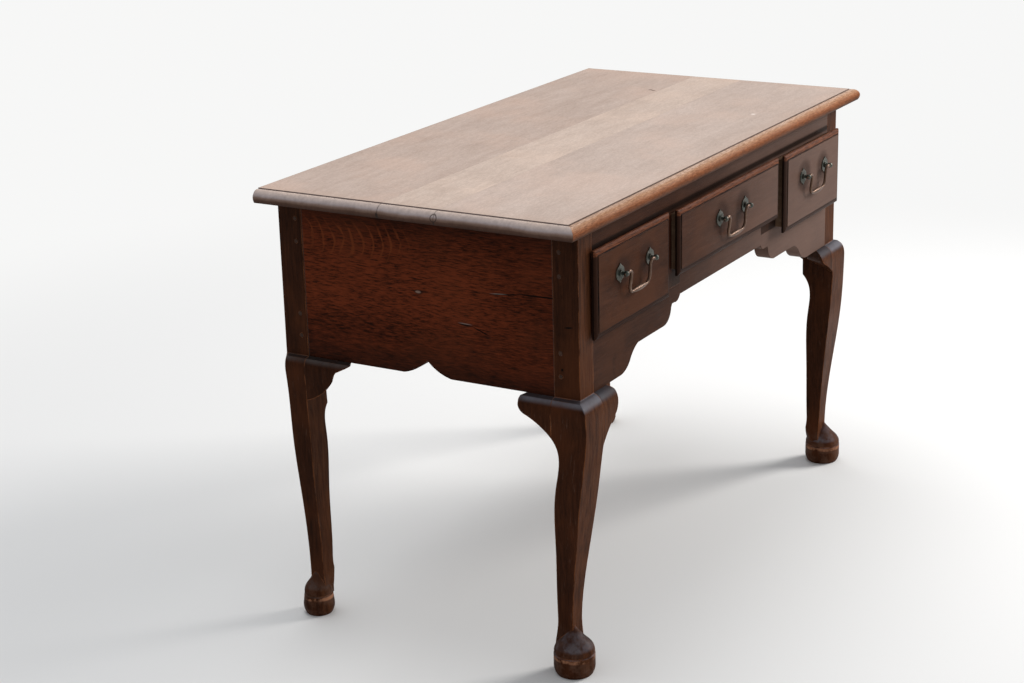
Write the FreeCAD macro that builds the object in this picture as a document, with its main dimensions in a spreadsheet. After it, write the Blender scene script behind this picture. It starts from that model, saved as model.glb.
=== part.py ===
import FreeCAD, Part
import math
import os
import Sketcher

# Oak lowboy: a case of three lipped drawers on four cabriole legs with pad feet.
# Frame: millimetres, +X to the right, the drawers face -Y, +Z up, the origin on the floor
# under the middle of the whole object.

doc = FreeCAD.newDocument("lowboy")

# ---------------------------------------------------------------- driving dimensions

DIMENSIONS = (
    # top
    ("overall_height", 711, "floor to the face of the top"),
    ("top_length", 1099, "top, end to end"),
    ("top_depth", 551, "top, front edge to back edge"),
    ("top_thickness", 21, "top boards"),
    ("end_overhang", 56.5, "top beyond the case at each end"),
    ("front_overhang", 23.5, "top beyond the case in front"),
    ("back_overhang", 4, "top beyond the case at the back"),
    ("front_board_width", 229, "front board of the top"),
    ("middle_board_width", 97, "middle board of the top"),
    ("top_mould_width", 15.5, "edge moulding, seen from above"),
    ("top_mould_fillet", 1.8, "small step inside the edge moulding"),
    ("top_mould_nose", 12, "height of the moulding's rounded upper part"),
    ("top_mould_undercut", 3, "lower arris set in from the nose"),
    # posts and legs
    ("leg_length", 436, "floor to the lower edge of the case"),
    ("post_width", 42, "corner post across the front"),
    ("post_depth", 42, "corner post along the end"),
    ("ledge_drop", 2, "fall of the narrow ledge on top of a knee"),
    ("shoulder_drop", 7, "first level below the case, in the rounded shoulder"),
    ("knee_drop", 36, "fullest level of the knee, below the case"),
    ("side_inner_drop", 100, "level below the case where a leg leaves its front bracket's sweep"),
    ("depth_inner_drop", 79, "level below the case where a front leg leaves its end bracket"),
    ("back_inner_drop", 98, "level below the case where a back leg leaves its end bracket"),
    ("calf_share", 0.619048, "level of the calf, as a share of the leg above its foot"),
    ("shank_share", 0.352941, "level of the shank, as a share of the leg above its foot"),
    ("ankle_share", 0.058824, "level of the ankle, as a share of the leg above its foot"),
    ("side_ledge", 9, "ledge on top of a front knee, beyond the case end"),
    ("side_shoulder", 12.2, "front leg beyond the case end at the shoulder"),
    ("side_knee", 14.5, "front leg beyond the case end at the knee"),
    ("side_calf", 20, "front leg beyond the case end at the calf"),
    ("side_shank", 16, "front leg beyond the case end at the shank"),
    ("side_ankle", 11, "front leg beyond the case end at the ankle"),
    ("side_knee_inner", 39.3, "inner face of a front leg below the bracket, from the case end"),
    ("side_calf_inner", 37.5, "inner face of a front leg at the calf, from the case end"),
    ("side_shank_inner", 29, "inner face of a front leg at the shank, from the case end"),
    ("side_ankle_inner", 19, "inner face of a front leg at the ankle, from the case end"),
    ("rear_ledge", 8.5, "ledge on top of a back knee, beyond the case end"),
    ("rear_shoulder", 11.5, "back leg beyond the case end at the shoulder"),
    ("rear_knee", 13, "back leg beyond the case end at the knee"),
    ("rear_calf", 14, "back leg beyond the case end at the calf"),
    ("rear_shank", 12, "back leg beyond the case end at the shank"),
    ("rear_ankle", 9, "back leg beyond the case end at the ankle"),
    ("rear_knee_inner", 34, "inner face of a back leg below its square post"),
    ("rear_calf_inner", 30, "inner face of a back leg at the calf, from the case end"),
    ("rear_shank_inner", 26, "inner face of a back leg at the shank, from the case end"),
    ("rear_ankle_inner", 20.5, "inner face of a back leg at the ankle, from the case end"),
    ("front_ledge", 4, "ledge on top of a front knee, in front of the case"),
    ("front_shoulder", 10.5, "stand-out in front of the case at the shoulder"),
    ("front_knee", 17, "stand-out in front of the case at the knee"),
    ("front_calf", 10, "stand-out in front of the case at the calf"),
    ("front_shank", -1.5, "stand-out in front of the case at the shank"),
    ("front_ankle", -12, "stand-out in front of the case at the ankle"),
    ("front_knee_inner", 30.8, "back face of a front leg below the bracket"),
    ("front_calf_inner", 32.4, "back face of a front leg at the calf, from the case front"),
    ("front_shank_inner", 36.5, "back face of a front leg at the shank"),
    ("front_ankle_inner", 38, "back face of a front leg at the ankle"),
    ("back_ledge", -5, "back leg behind the case back at the ledge"),
    ("back_knee", -6, "back leg behind the case back at the knee"),
    ("back_calf", -12.8, "back leg behind the case back at the calf"),
    ("back_shank", -21.4, "back leg behind the case back at the shank"),
    ("back_ankle", -28, "back leg behind the case back at the ankle"),
    ("back_knee_inner", 43.5, "front face of a back leg below the bracket"),
    ("back_calf_inner", 46.7, "front face of a back leg at the calf, from the case back"),
    ("back_shank_inner", 48.7, "front face of a back leg at the shank"),
    ("back_ankle_inner", 52.5, "front face of a back leg at the ankle"),
    ("front_foot_radius", 31.8, "pad of a front foot, below its ring"),
    ("back_foot_radius", 25.2, "pad of a back foot, below its ring"),
    ("front_instep_radius", 31.2, "front foot above its ring"),
    ("back_instep_radius", 22.8, "back foot above its ring"),
    ("front_heel_radius", 29.6, "front leg's inner corner over the foot, from the foot's middle"),
    ("back_heel_radius", 25, "back leg's inner corner over the foot, from the foot's middle"),
    ("sole_inset", 4.5, "sole of a pad foot, smaller than the foot all round"),
    ("foot_ring_level", 34, "incised ring round the foot"),
    ("foot_ring_depth", 1.2, "depth of the incised ring"),
    ("instep_top", 79, "height at which the foot's hollow instep ends in the leg"),
    ("heel_level", 44, "height at which the leg's inner faces are widest over the foot"),
    ("heel_flare", 5, "leg's inner faces spread over the foot"),
    ("foot_side", 4.5, "middle of a foot beyond the case end"),
    ("front_foot_inset", 14, "middle of a front foot behind the case front"),
    ("back_foot_inset", 38, "middle of a back foot in front of the case back"),
    # knee brackets
    ("end_bracket_reach", 97, "tip of an end's front knee bracket, from the case corner"),
    ("end_bracket_drop", 60, "end's front knee bracket, top to bottom"),
    ("end_bracket_nose", 14, "run of that bracket's rounded nose"),
    ("back_bracket_reach", 128, "tip of an end's back knee bracket, from the case corner"),
    ("back_bracket_drop", 70, "end's back knee bracket, top to bottom"),
    ("face_bracket_reach", 89, "tip of a front knee bracket, from the case corner"),
    ("face_bracket_nose", 7, "run of that bracket's rounded nose"),
    ("left_bracket_drop", 80, "front knee bracket at the left, top to bottom"),
    ("right_bracket_drop", 48, "front knee bracket at the right, top to bottom"),
    ("rear_post_drop", 90, "level below the case down to which a back leg is square"),
    ("bracket_undercut", 30, "slope of a bracket's sawn edge, inwards from its face, in degrees"),
    ("bracket_thickness", 24, "knee bracket, behind the case face"),
    # boards of the case
    ("panel_thickness", 20, "end panels"),
    ("panel_setback", 1, "end and back panels behind the posts' faces"),
    ("back_thickness", 16, "back panel"),
    ("back_clearance", 12, "back panel's lower edge above the case's lower edge"),
    ("tenon_length", 22, "tenons of panels and rails"),
    ("tenon_thickness", 9, "tenons of panels and rails"),
    ("tenon_shoulder", 8, "tenons' upper and lower shoulders"),
    ("notch_half_width", 42, "pointed notch in an end panel's lower edge, half"),
    ("notch_height", 24, "height of that notch"),
    ("peg_radius", 3.2, "wooden pegs"),
    ("peg_proud", 0.5, "pegs' ends proud of the posts"),
    ("peg_upper", 33, "upper peg of a pair, from the nearer end of the post"),
    ("peg_lower", 69, "lower peg of a pair, from the nearer end of the post"),
    # front frame
    ("rail_thickness", 26, "front rails and muntins"),
    ("top_rail_share", 0.173228, "rail above the drawers, as a share of the case's height"),
    ("centre_opening", 378, "width of the centre drawer's opening"),
    ("muntin_width", 31, "upright between two drawers"),
    ("deep_share", 0.470472, "outer drawers' openings, as a share of the case's height"),
    ("shallow_share", 0.352362, "centre drawer's opening, as a share of the case's height"),
    ("muntin_foot", 158, "inner edge of the muntin's foot, from the middle"),
    ("apron_step_share", 0.139764, "apron's middle level, as a share of the case's height"),
    ("kneehole_share", 0.285433, "apron's upper level, as a share of the case's height"),
    ("ogee_low", 366, "outer end of the apron's ogee, from the middle"),
    ("ogee_middle", 333, "turning point of the apron's ogee"),
    ("ogee_high", 305, "inner end of the apron's ogee"),
    ("cove_outer", 216, "outer end of the apron's cove"),
    ("cove_inner", 190, "inner end of the apron's cove"),
    ("bead_outer", 178, "outer end of the bead beside the centre rail"),
    ("bead_drop", 8.5, "height of that bead"),
    # runners, kickers, blocks
    ("runner_thickness", 18, "bearer under a drawer"),
    ("bearer_width", 18, "bearer's width under the drawer's side"),
    ("runner_guide", 20, "guide's height beside the drawer"),
    ("guide_thickness", 13, "guide beside the drawer"),
    ("kicker_width", 45, "kicker above a drawer"),
    ("kicker_thickness", 18, "kicker above a drawer"),
    ("glue_block", 20, "glue block's square section"),
    ("glue_block_length", 60, "glue block"),
    # drawers
    ("left_drawer_ajar", 3, "left drawer stands open"),
    ("centre_drawer_ajar", 10, "centre drawer stands open"),
    ("right_drawer_ajar", 14.5, "right drawer stands open"),
    ("lip_overlap", 7.5, "drawer front's lip over the frame"),
    ("lip_thickness", 7.5, "drawer front's lip"),
    ("lip_mould_width", 8.8, "moulding round a drawer front"),
    ("lip_mould_step", 1.2, "small step inside that moulding"),
    ("lip_edge", 3.5, "plain outer edge of the lip"),
    ("front_inner_thickness", 16, "drawer front behind the lip"),
    ("dovetail_lap", 3, "wood left in front of the lapped dovetails"),
    ("drawer_play", 1.2, "drawer to opening, at each side and above"),
    ("running_gap", 0.3, "drawer above its runner"),
    ("drawer_end_gap", 36.5, "shut drawer to the back panel"),
    ("side_thickness", 10, "drawer sides and back"),
    ("bottom_thickness", 7, "drawer bottom"),
    ("bottom_level", 8, "drawer bottom above the side's lower edge"),
    ("groove_depth", 5, "groove for the drawer bottom"),
    ("tail_pitch", 37, "wanted distance from dovetail to dovetail"),
    ("tail_flare", 1.8, "dovetail's widening at each side"),
    # handles
    ("deep_handle_share", 0.64017, "handle posts of a deep drawer, up its opening"),
    ("shallow_handle_share", 0.564246, "handle posts of the shallow drawer, up its opening"),
    ("handle_spacing", 98, "post to post"),
    ("plate_height", 30, "backplate, point to point"),
    ("plate_width", 25, "backplate across"),
    ("plate_waist", 8, "backplate's half width where its points begin"),
    ("plate_thickness", 1.5, "backplate"),
    ("pivot_reach", 11, "bail's pivot in front of the drawer front"),
    ("post_ball", 4.5, "radius of the handle post's head"),
    ("post_neck", 2.7, "radius of the handle post's neck"),
    ("post_collar", 5, "radius of the handle post's collar"),
    ("collar_length", 2.2, "handle post's collar"),
    ("shank_end", 7, "handle post's thread inside the drawer front"),
    ("nut_width", 11, "square nut"),
    ("nut_thickness", 3.5, "square nut"),
    ("pin_radius", 1.6, "bail's pivot end"),
    ("pin_clearance", 0.06, "play between a pivot end and its hole"),
    ("pin_proud", 1, "pivot end beyond the post's head"),
    ("bail_radius", 2.4, "bail's wire"),
    ("grip_radius", 4.3, "middle of the bail's grip"),
    ("bail_drop", 34.5, "pivot to the middle of the grip"),
    ("bail_corner", 11, "bend at each end of the grip"),
    ("bail_arch", 7.5, "bend over the top of a bail's arm"),
    ("bail_neck", 4, "rising bend beside the post"),
)

sizes = doc.addObject("Spreadsheet::Sheet", "sizes")
for row, (alias, value, meaning) in enumerate(DIMENSIONS, start=1):
    sizes.set(f"A{row}", meaning)
    sizes.set(f"B{row}", str(value))
    sizes.setAlias(f"B{row}", alias)
doc.recompute()


class Size:
    """A length that carries its value and the sheet expression it is bound with."""

    def __init__(self, value, text=None):
        self.value = float(value)
        self.text = text if text is not None else repr(float(value))

    def __add__(self, other):
        other = as_size(other)
        return Size(self.value + other.value, f"({self.text} + {other.text})")

    def __sub__(self, other):
        other = as_size(other)
        return Size(self.value - other.value, f"({self.text} - {other.text})")

    def __mul__(self, other):
        other = as_size(other)
        return Size(self.value * other.value, f"({self.text} * {other.text})")

    def __truediv__(self, other):
        other = as_size(other)
        return Size(self.value / other.value, f"({self.text} / {other.text})")

    def __radd__(self, other):
        return as_size(other) + self

    def __rsub__(self, other):
        return as_size(other) - self

    def __rmul__(self, other):
        return as_size(other) * self

    def __neg__(self):
        return Size(-self.value, f"(0 - {self.text})")

    def __float__(self):
        return self.value


def as_size(number):
    return number if isinstance(number, Size) else Size(number)


class Dimensions:
    """The sheet's cells as Size values: d.top_length and so on."""

    def __getattr__(self, alias):
        return Size(sizes.get(alias), "sizes." + alias)


d = Dimensions()

# ---------------------------------------------------------------- derived places

drawer_stand_out = d.right_drawer_ajar + d.lip_thickness
handle_stand_out = drawer_stand_out + d.pivot_reach + d.post_ball - d.front_overhang
top_front = handle_stand_out / 2 - d.top_depth / 2
top_back = top_front + d.top_depth
top_face = d.overall_height
top_under = top_face - d.top_thickness
top_end = d.top_length / 2
case_end = top_end - d.end_overhang
case_front = top_front + d.front_overhang
case_back = top_back - d.back_overhang
case_low = d.leg_length
post_inner = case_end - d.post_width
rail_back = case_front + d.rail_thickness
panel_outer = case_end - d.panel_setback
panel_inner = panel_outer - d.panel_thickness
back_outer = case_back - d.panel_setback
back_inner = back_outer - d.back_thickness
case_height = top_under - case_low
rail_under = top_under - case_height * d.top_rail_share
deep_opening = case_height * d.deep_share
shallow_opening = case_height * d.shallow_share
deep_sill = rail_under - deep_opening
shallow_sill = rail_under - shallow_opening
muntin_inner = d.centre_opening / 2
muntin_outer = muntin_inner + d.muntin_width
apron_step = case_height * d.apron_step_share
step_level = case_low + apron_step
kneehole_level = case_low + case_height * d.kneehole_share
drawer_length = back_inner - case_front - d.drawer_end_gap

XZ, YZ, XY = "XZ_Plane", "YZ_Plane", "XY_Plane"
VIA = "via"


# ---------------------------------------------------------------- modelling helpers

def bind(obj, prop, size):
    obj.setExpression(prop, as_size(size).text)


def place(obj, **offsets):
    for axis, size in offsets.items():
        bind(obj, "Placement.Base." + axis, size)
    return obj


def new_body(label):
    body = doc.addObject("PartDesign::Body", label)
    body.Label = label
    return body


def outline(body, plane, corners):
    """A closed outline on an origin plane of the body, every corner bound to the sheet.

    A corner is (u, v); (u, v, VIA) is a point on the arc between its two neighbours.
    """
    sketch = body.newObject("Sketcher::SketchObject", body.Label + "_outline")
    origin_plane = [f for f in body.Origin.OriginFeatures if f.Role == plane][0]
    sketch.AttachmentSupport = (origin_plane, [""])
    sketch.MapMode = "FlatFace"
    ring = list(corners) + [corners[0]]
    edges = []
    step = 0
    while step < len(corners):
        if ring[step + 1][-1] == VIA:
            edges.append((ring[step], ring[step + 1], ring[step + 2]))
            step += 2
        else:
            edges.append((ring[step], None, ring[step + 1]))
            step += 1
    ends = []
    for start, via, end in edges:
        first, last = vector(start), vector(end)
        if via is None:
            index = sketch.addGeometry(Part.LineSegment(first, last), False)
        else:
            index = sketch.addGeometry(Part.Arc(first, vector(via), last), False)
        reverse = sketch.getPoint(index, 1).distanceToPoint(first) > 1e-6
        ends.append((index, 2, 1) if reverse else (index, 1, 2))
        if via is not None:
            mark = sketch.addGeometry(Part.Point(vector(via)), True)
            pin_point(sketch, mark, 1, via)
            sketch.addConstraint(Sketcher.Constraint("PointOnObject", mark, 1, index))
    for number, (start, _, _) in enumerate(edges):
        index, begin, _ = ends[number]
        before, _, finish = ends[number - 1]
        sketch.addConstraint(Sketcher.Constraint("Coincident", before, finish, index, begin))
        pin_point(sketch, index, begin, start)
    return sketch


def vector(corner):
    return FreeCAD.Vector(float(corner[0]), float(corner[1]), 0)


def pin_point(sketch, index, end, corner):
    for kind, size in (("DistanceX", corner[0]), ("DistanceY", corner[1])):
        size = as_size(size)
        number = sketch.addConstraint(Sketcher.Constraint(kind, -1, 1, index, end, size.value))
        sketch.setExpression(f"Constraints[{number}]", size.text)


def board(label, plane, corners, low, high):
    """An outline padded square to its plane, from low to high."""
    body = new_body(label)
    sketch = outline(body, plane, corners)
    pad = body.newObject("PartDesign::Pad", label + "_pad")
    pad.Profile = sketch
    bind(pad, "Length", as_size(high) - low)
    axis, start = {XZ: ("y", high), YZ: ("x", low), XY: ("z", low)}[plane]
    bind(body, "Placement.Base." + axis, start)
    return body


def turned(label, corners):
    """A half outline in the YZ plane turned about its own Y axis."""
    body = new_body(label)
    sketch = outline(body, YZ, corners)
    turn = body.newObject("PartDesign::Revolution", label + "_turn")
    turn.Profile = sketch
    turn.ReferenceAxis = (sketch, ["H_Axis"])
    turn.Angle = 360
    return body


def block(label, x, y, z):
    """A rectangular block; x, y and z are (low, high)."""
    box = doc.addObject("Part::Box", label)
    for prop, axis, (low, high) in zip(("Length", "Width", "Height"), "xyz", (x, y, z)):
        bind(box, prop, as_size(high) - low)
        bind(box, "Placement.Base." + axis, low)
    return box


def rod(label, radius, length, axis, x, y, z):
    """A cylinder along +X or +Y from the point (x, y, z)."""
    cylinder = doc.addObject("Part::Cylinder", label)
    bind(cylinder, "Radius", radius)
    bind(cylinder, "Height", length)
    turn = {"x": FreeCAD.Rotation(0, 90, 0), "y": FreeCAD.Rotation(0, 0, -90)}[axis]
    cylinder.Placement.Rotation = turn
    return place(cylinder, x=x, y=y, z=z)


def common(label, one, other):
    result = doc.addObject("Part::Common", label)
    result.Base = one
    result.Tool = other
    return result


def fuse(label, *pieces):
    result = doc.addObject("Part::MultiFuse", label)
    result.Shapes = list(pieces)
    result.Refine = True
    return result


def group(label, *pieces):
    """Separate identical solids that share one node."""
    result = doc.addObject("Part::Compound", label)
    result.Links = list(pieces)
    return result


def cut(label, blank, *tools):
    result = doc.addObject("Part::Cut", label)
    result.Base = blank
    result.Tool = tools[0] if len(tools) == 1 else group(label + "_waste", *tools)
    return result


def mirror(pair, side):
    """(low, high) measured outwards from the middle, on the side +1 (right) or -1 (left)."""
    low, high = pair
    return (low, high) if side > 0 else (-as_size(high), -as_size(low))


def mirror_outline(corners, side):
    return [(corner[0] * side,) + tuple(corner[1:]) for corner in corners]


SIDES = (("left", -1), ("right", 1))
parts = []


def keep(obj):
    parts.append(obj)
    return obj


# ---------------------------------------------------------------- top

def thumbnail(edge, inwards):
    """Moulded edge of the top from its field down to its underside."""
    nose = top_face - d.top_mould_nose
    step = edge + d.top_mould_width * inwards
    return [
        (step, top_face),
        (step, top_face - d.top_mould_fillet),
        (edge + d.top_mould_width * (0.27 * inwards), top_face - d.top_mould_nose * 0.36, VIA),
        (edge, nose),
        (edge + d.top_mould_undercut * (0.22 * inwards), (nose + top_under) / 2, VIA),
        (edge + d.top_mould_undercut * inwards, top_under),
    ]


def make_top():
    front_joint = top_front + d.front_board_width
    back_joint = front_joint + d.middle_board_width
    ends = thumbnail(top_end, -1) + thumbnail(-top_end, 1)[::-1]
    moulded_ends = board("top_moulded_ends", XZ, ends, top_front, top_back)
    front_section = thumbnail(top_front, 1) + [(front_joint, top_under), (front_joint, top_face)]
    sections = (
        ("front", front_section),
        ("middle", square_section(front_joint, back_joint)),
        ("back", square_section(back_joint, top_back)),
    )
    for name, section in sections:
        plank = board(f"top_{name}_plank", YZ, section, -top_end, top_end)
        keep(common(f"top_{name}_board", plank, moulded_ends))


def square_section(front, back):
    return [(front, top_under), (back, top_under), (back, top_face), (front, top_face)]


# ---------------------------------------------------------------- panels

def end_notch(middle):
    """Lower edge of an end panel at its pointed notch, front to back."""
    reach = d.notch_half_width
    top = case_low + d.notch_height
    flank = case_low + d.notch_height * 0.34
    return [
        (middle - reach, case_low),
        (middle - reach * 0.48, flank, VIA),
        (middle, top),
        (middle + reach * 0.48, flank, VIA),
        (middle + reach, case_low),
    ]


def make_end_panel(name, side, pegs):
    front = case_front + d.post_depth
    back = case_back - d.post_depth
    corners = [(front, case_low)] + end_notch((case_front + case_back) / 2)
    corners += [(back, case_low), (back, top_under), (front, top_under)]
    face = mirror((panel_inner, panel_outer), side)
    panel = board(f"{name}_end_board", YZ, corners, *face)
    tongue = block(
        f"{name}_end_tenons",
        mirror((panel_inner, panel_inner + d.tenon_thickness), side),
        (front - d.tenon_length, back + d.tenon_length),
        (case_low + d.notch_height + d.tenon_shoulder, top_under - d.tenon_shoulder),
    )
    low_tenons = [
        block(
            f"{name}_end_low_tenon_{end}",
            mirror((panel_inner, panel_inner + d.tenon_thickness), side),
            span,
            (case_low + d.tenon_shoulder, case_low + d.notch_height + d.tenon_shoulder),
        )
        for end, span in (
            ("front", (front - d.tenon_length, front)),
            ("back", (back, back + d.tenon_length)),
        )
    ]
    blank = fuse(f"{name}_end_blank", panel, tongue, *low_tenons)
    return keep(cut(f"{name}_end_panel", blank, *pegs))


def make_back_panel():
    low = case_low + d.back_clearance
    panel = block(
        "back_board",
        (-post_inner, post_inner),
        (back_inner, back_outer),
        (low, top_under),
    )
    tongue = block(
        "back_tenons",
        (-post_inner - d.tenon_length * 0.5, post_inner + d.tenon_length * 0.5),
        (back_inner, back_inner + d.tenon_thickness),
        (low + d.tenon_shoulder, top_under - d.tenon_shoulder),
    )
    return keep(fuse("back_panel", panel, tongue))


# ---------------------------------------------------------------- front frame

def make_top_rail():
    rail = block(
        "top_rail_board",
        (-post_inner, post_inner),
        (case_front, rail_back),
        (rail_under, top_under),
    )
    tongue = block(
        "top_rail_tenons",
        (-post_inner - d.tenon_length * 0.5, post_inner + d.tenon_length * 0.5),
        (rail_back - d.tenon_thickness, rail_back),
        (rail_under + d.tenon_shoulder, top_under - d.tenon_shoulder),
    )
    return fuse("front_top_rail_blank", rail, tongue)


def make_apron(name, side):
    """Shaped rail under a deep drawer, from the post to the centre rail."""
    bead = kneehole_level - d.bead_drop
    corners = [
        (post_inner, case_low),
        (d.ogee_low, case_low),
        (d.ogee_low * 0.4 + d.ogee_middle * 0.6, case_low + apron_step * 0.12, VIA),
        (d.ogee_middle, case_low + apron_step * 0.4),
        (d.ogee_middle * 0.62 + d.ogee_high * 0.38, case_low + apron_step * 0.73, VIA),
        (d.ogee_high, step_level),
        (d.cove_outer, step_level),
        (d.cove_outer * 0.3 + d.cove_inner * 0.7, step_level * 0.73 + bead * 0.27, VIA),
        (d.cove_inner, step_level * 0.2 + bead * 0.8),
        (d.cove_inner * 0.75 + d.bead_outer * 0.25, bead),
        (d.bead_outer, bead),
        (d.bead_outer * 0.27 + d.muntin_foot * 0.73, bead + d.bead_drop * 0.28, VIA),
        (d.muntin_foot, kneehole_level),
        (d.muntin_foot, deep_sill),
        (post_inner, deep_sill),
    ]
    rail = board(f"{name}_apron_board", XZ, mirror_outline(corners, side), case_front, rail_back)
    tongue = block(
        f"{name}_apron_tenon",
        mirror((post_inner, post_inner + d.tenon_length * 0.5), side),
        (rail_back - d.tenon_thickness, rail_back),
        (case_low + d.tenon_shoulder, deep_sill - d.tenon_shoulder),
    )
    return fuse(f"{name}_apron_blank", rail, tongue)


def make_muntin(name, side):
    """Upright between two drawers, with a foot that the centre rail is tenoned into."""
    corners = [
        (d.muntin_foot, deep_sill),
        (muntin_outer, deep_sill),
        (muntin_outer, rail_under),
        (muntin_inner, rail_under),
        (muntin_inner, shallow_sill),
        (d.muntin_foot, shallow_sill),
    ]
    upright = board(f"{name}_upright", XZ, mirror_outline(corners, side), case_front, rail_back)
    middle = (muntin_inner + muntin_outer) / 2
    half = d.muntin_width / 4
    stubs = [
        block(
            f"{name}_upright_stub_{end}",
            mirror((middle - half, middle + half), side),
            (rail_back - d.tenon_thickness, rail_back),
            levels,
        )
        for end, levels in (
            ("top", (rail_under, rail_under + d.tenon_length * 0.5)),
            ("foot", (deep_sill - d.tenon_length * 0.5, deep_sill)),
        )
    ]
    return fuse(f"{name}_muntin_blank", upright, *stubs)


def make_front_frame():
    """Rail, two muntins and three apron rails, each mortised for the next one's tenons."""
    centre = block(
        "centre_rail_board",
        (-d.muntin_foot, d.muntin_foot),
        (case_front, rail_back),
        (kneehole_level, shallow_sill),
    )
    centre_tenons = block(
        "centre_rail_tenons",
        (-d.muntin_foot - d.tenon_length * 0.5, d.muntin_foot + d.tenon_length * 0.5),
        (rail_back - d.tenon_thickness, rail_back),
        (deep_sill + d.tenon_shoulder * 0.5, shallow_sill - d.tenon_shoulder),
    )
    centre_rail = keep(fuse("centre_apron_rail", centre, centre_tenons))
    muntins = []
    tenoned = []
    for name, side in SIDES:
        muntin = keep(cut(f"{name}_muntin", make_muntin(name, side), centre_rail))
        apron = keep(cut(f"{name}_apron_rail", make_apron(name, side), muntin))
        muntins.append(muntin)
        tenoned.append(apron)
    rail = keep(cut("front_top_rail", make_top_rail(), *muntins))
    return rail, dict(zip(("left", "right"), tenoned))


# ---------------------------------------------------------------- pegs

def make_pegs(name, side):
    """Pegs through the two posts of one end: an upper and a lower pair in each post."""
    levels = (
        top_under - d.peg_upper,
        top_under - d.peg_lower,
        case_low + d.peg_upper,
        case_low + d.peg_lower,
    )
    length = d.post_width + d.peg_proud
    start = -post_inner - length if side < 0 else post_inner
    across = (
        case_front + d.post_depth - d.tenon_length / 2,
        case_back - d.post_depth + d.tenon_length / 2,
    )
    pegs = []
    for end, y in zip(("front", "back"), across):
        for number, level in enumerate(levels, start=1):
            label = f"{name}_{end}_peg_{number}"
            pegs.append(rod(label, d.peg_radius, length, "x", start, y, level))
    return pegs


# ---------------------------------------------------------------- legs

def smooth(points):
    curve = Part.BSplineCurve()
    curve.interpolate([FreeCAD.Vector(*point) for point in points])
    return curve.toShape()


def face_of(*edges):
    return Part.Face(Part.Wire(Part.__sortEdges__(list(edges))))


def line(start, end):
    return Part.makeLine(FreeCAD.Vector(*start), FreeCAD.Vector(*end))


def level_of(station):
    """Levels near the case are drops from its edge; the others share out the leg above its foot."""
    low = float(case_low)
    if station in ("ledge", "shoulder", "knee"):
        return low - size_of(f"{station}_drop")
    foot = size_of("instep_top")
    return foot + (low - foot) * size_of(f"{station}_share")


def outer_stations(view):
    """Stand-out of the leg beyond the case face, from its ledge down into the foot."""
    names = ("ledge", "shoulder", "knee", "calf", "shank", "ankle")
    if view == "back":
        names = ("ledge", *names[2:])
    stations = [(level_of(name), size_of(f"{view}_{name}")) for name in names]
    stations.append((size_of("foot_ring_level"), size_of(f"{view}_ankle")))
    return stations


def outer_edges(view):
    """Face of leg and bracket in one view, from the case's edge down; its two ends follow."""
    points = [(-offset, level, 0) for level, offset in outer_stations(view)]
    top = (0, float(case_low), 0)
    return [line(top, points[0]), smooth(points)], top, points[-1]


def inner_stations(view, post, drop):
    """Inner face of the leg, measured inwards from the case face, below its bracket."""
    low = float(case_low)
    inner_drops = {"front": d.depth_inner_drop, "back": d.back_inner_drop}
    inner_drop = float(inner_drops.get(view, d.side_inner_drop))
    stations = [(low - drop, post), (low - inner_drop, size_of(f"{view}_knee_inner"))]
    for name in ("calf", "shank", "ankle"):
        stations.append((level_of(name), size_of(f"{view}_{name}_inner")))
    ankle = stations[-1][1]
    heel = size_of("heel_flare")
    stations.append((size_of("instep_top"), ankle))
    stations.append((size_of("heel_level"), ankle + heel))
    stations.append((size_of("foot_ring_level"), ankle + heel * 1.2))
    return stations


def size_of(alias):
    return float(sizes.get(alias))


def sawn_profile(view, post, drop):
    """Silhouette of leg and post in one view: u inwards from the case face, v up."""
    outer, outer_top, outer_end = outer_edges(view)
    inner = [(offset, level, 0) for level, offset in inner_stations(view, post, drop)]
    top = float(top_under)
    return [
        *outer,
        line(outer_end, inner[-1]),
        smooth(inner),
        line(inner[0], (post, top, 0)),
        line((post, top, 0), (0, top, 0)),
        line((0, top, 0), outer_top),
    ]


def foot_solid(radius, instep):
    """Pad foot turned about the Z axis: rounded pad, incised ring, hollow instep."""
    sole = radius - float(d.sole_inset)
    ring = float(d.foot_ring_level)
    nick = float(d.foot_ring_depth)
    top = float(d.instep_top)
    pad_top = ring - nick
    instep_low = ring + nick
    rise = top - instep_low
    shares = ((1, 0), (0.985, 0.14), (0.9, 0.27), (0.75, 0.39), (0.55, 0.53), (0.36, 0.68), (0.16, 0.84))
    hollow = [(instep * wide, 0, instep_low + rise * high) for wide, high in shares]
    tip = (instep * 0.02, 0, top)
    edges = [
        line((0, 0, 0), (sole, 0, 0)),
        arc((sole, 0), (radius - nick * 0.6, pad_top * 0.25), (radius, pad_top * 0.55)),
        line((radius, 0, pad_top * 0.55), (instep + nick / 2, 0, pad_top)),
        line((instep + nick / 2, 0, pad_top), (instep - nick, 0, ring)),
        line((instep - nick, 0, ring), (instep, 0, instep_low)),
        smooth([*hollow, tip]),
        line(tip, (0, 0, top)),
        line((0, 0, top), (0, 0, 0)),
    ]
    return spun(edges)


def heel_trim(radius):
    """Ring that rounds a leg's inner corner down to the foot."""
    low = float(d.foot_ring_level) - float(d.foot_ring_depth)
    heel = float(d.heel_level)
    top = float(d.instep_top)
    corners = (
        (radius, 0, low),
        (radius, 0, heel),
        (radius * 1.27, 0, top),
        (radius * 3, 0, top),
        (radius * 3, 0, low),
    )
    return spun([line(*ends) for ends in zip(corners, corners[1:] + corners[:1])])


def spun(edges):
    """Closed outline in the XZ plane turned about the Z axis."""
    return Part.Face(Part.Wire(edges)).revolve(FreeCAD.Vector(), FreeCAD.Vector(0, 0, 1), 360)


def arc(start, via, end):
    points = [FreeCAD.Vector(radius, 0, level) for radius, level in (start, via, end)]
    return Part.Arc(*points).toShape()


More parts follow.
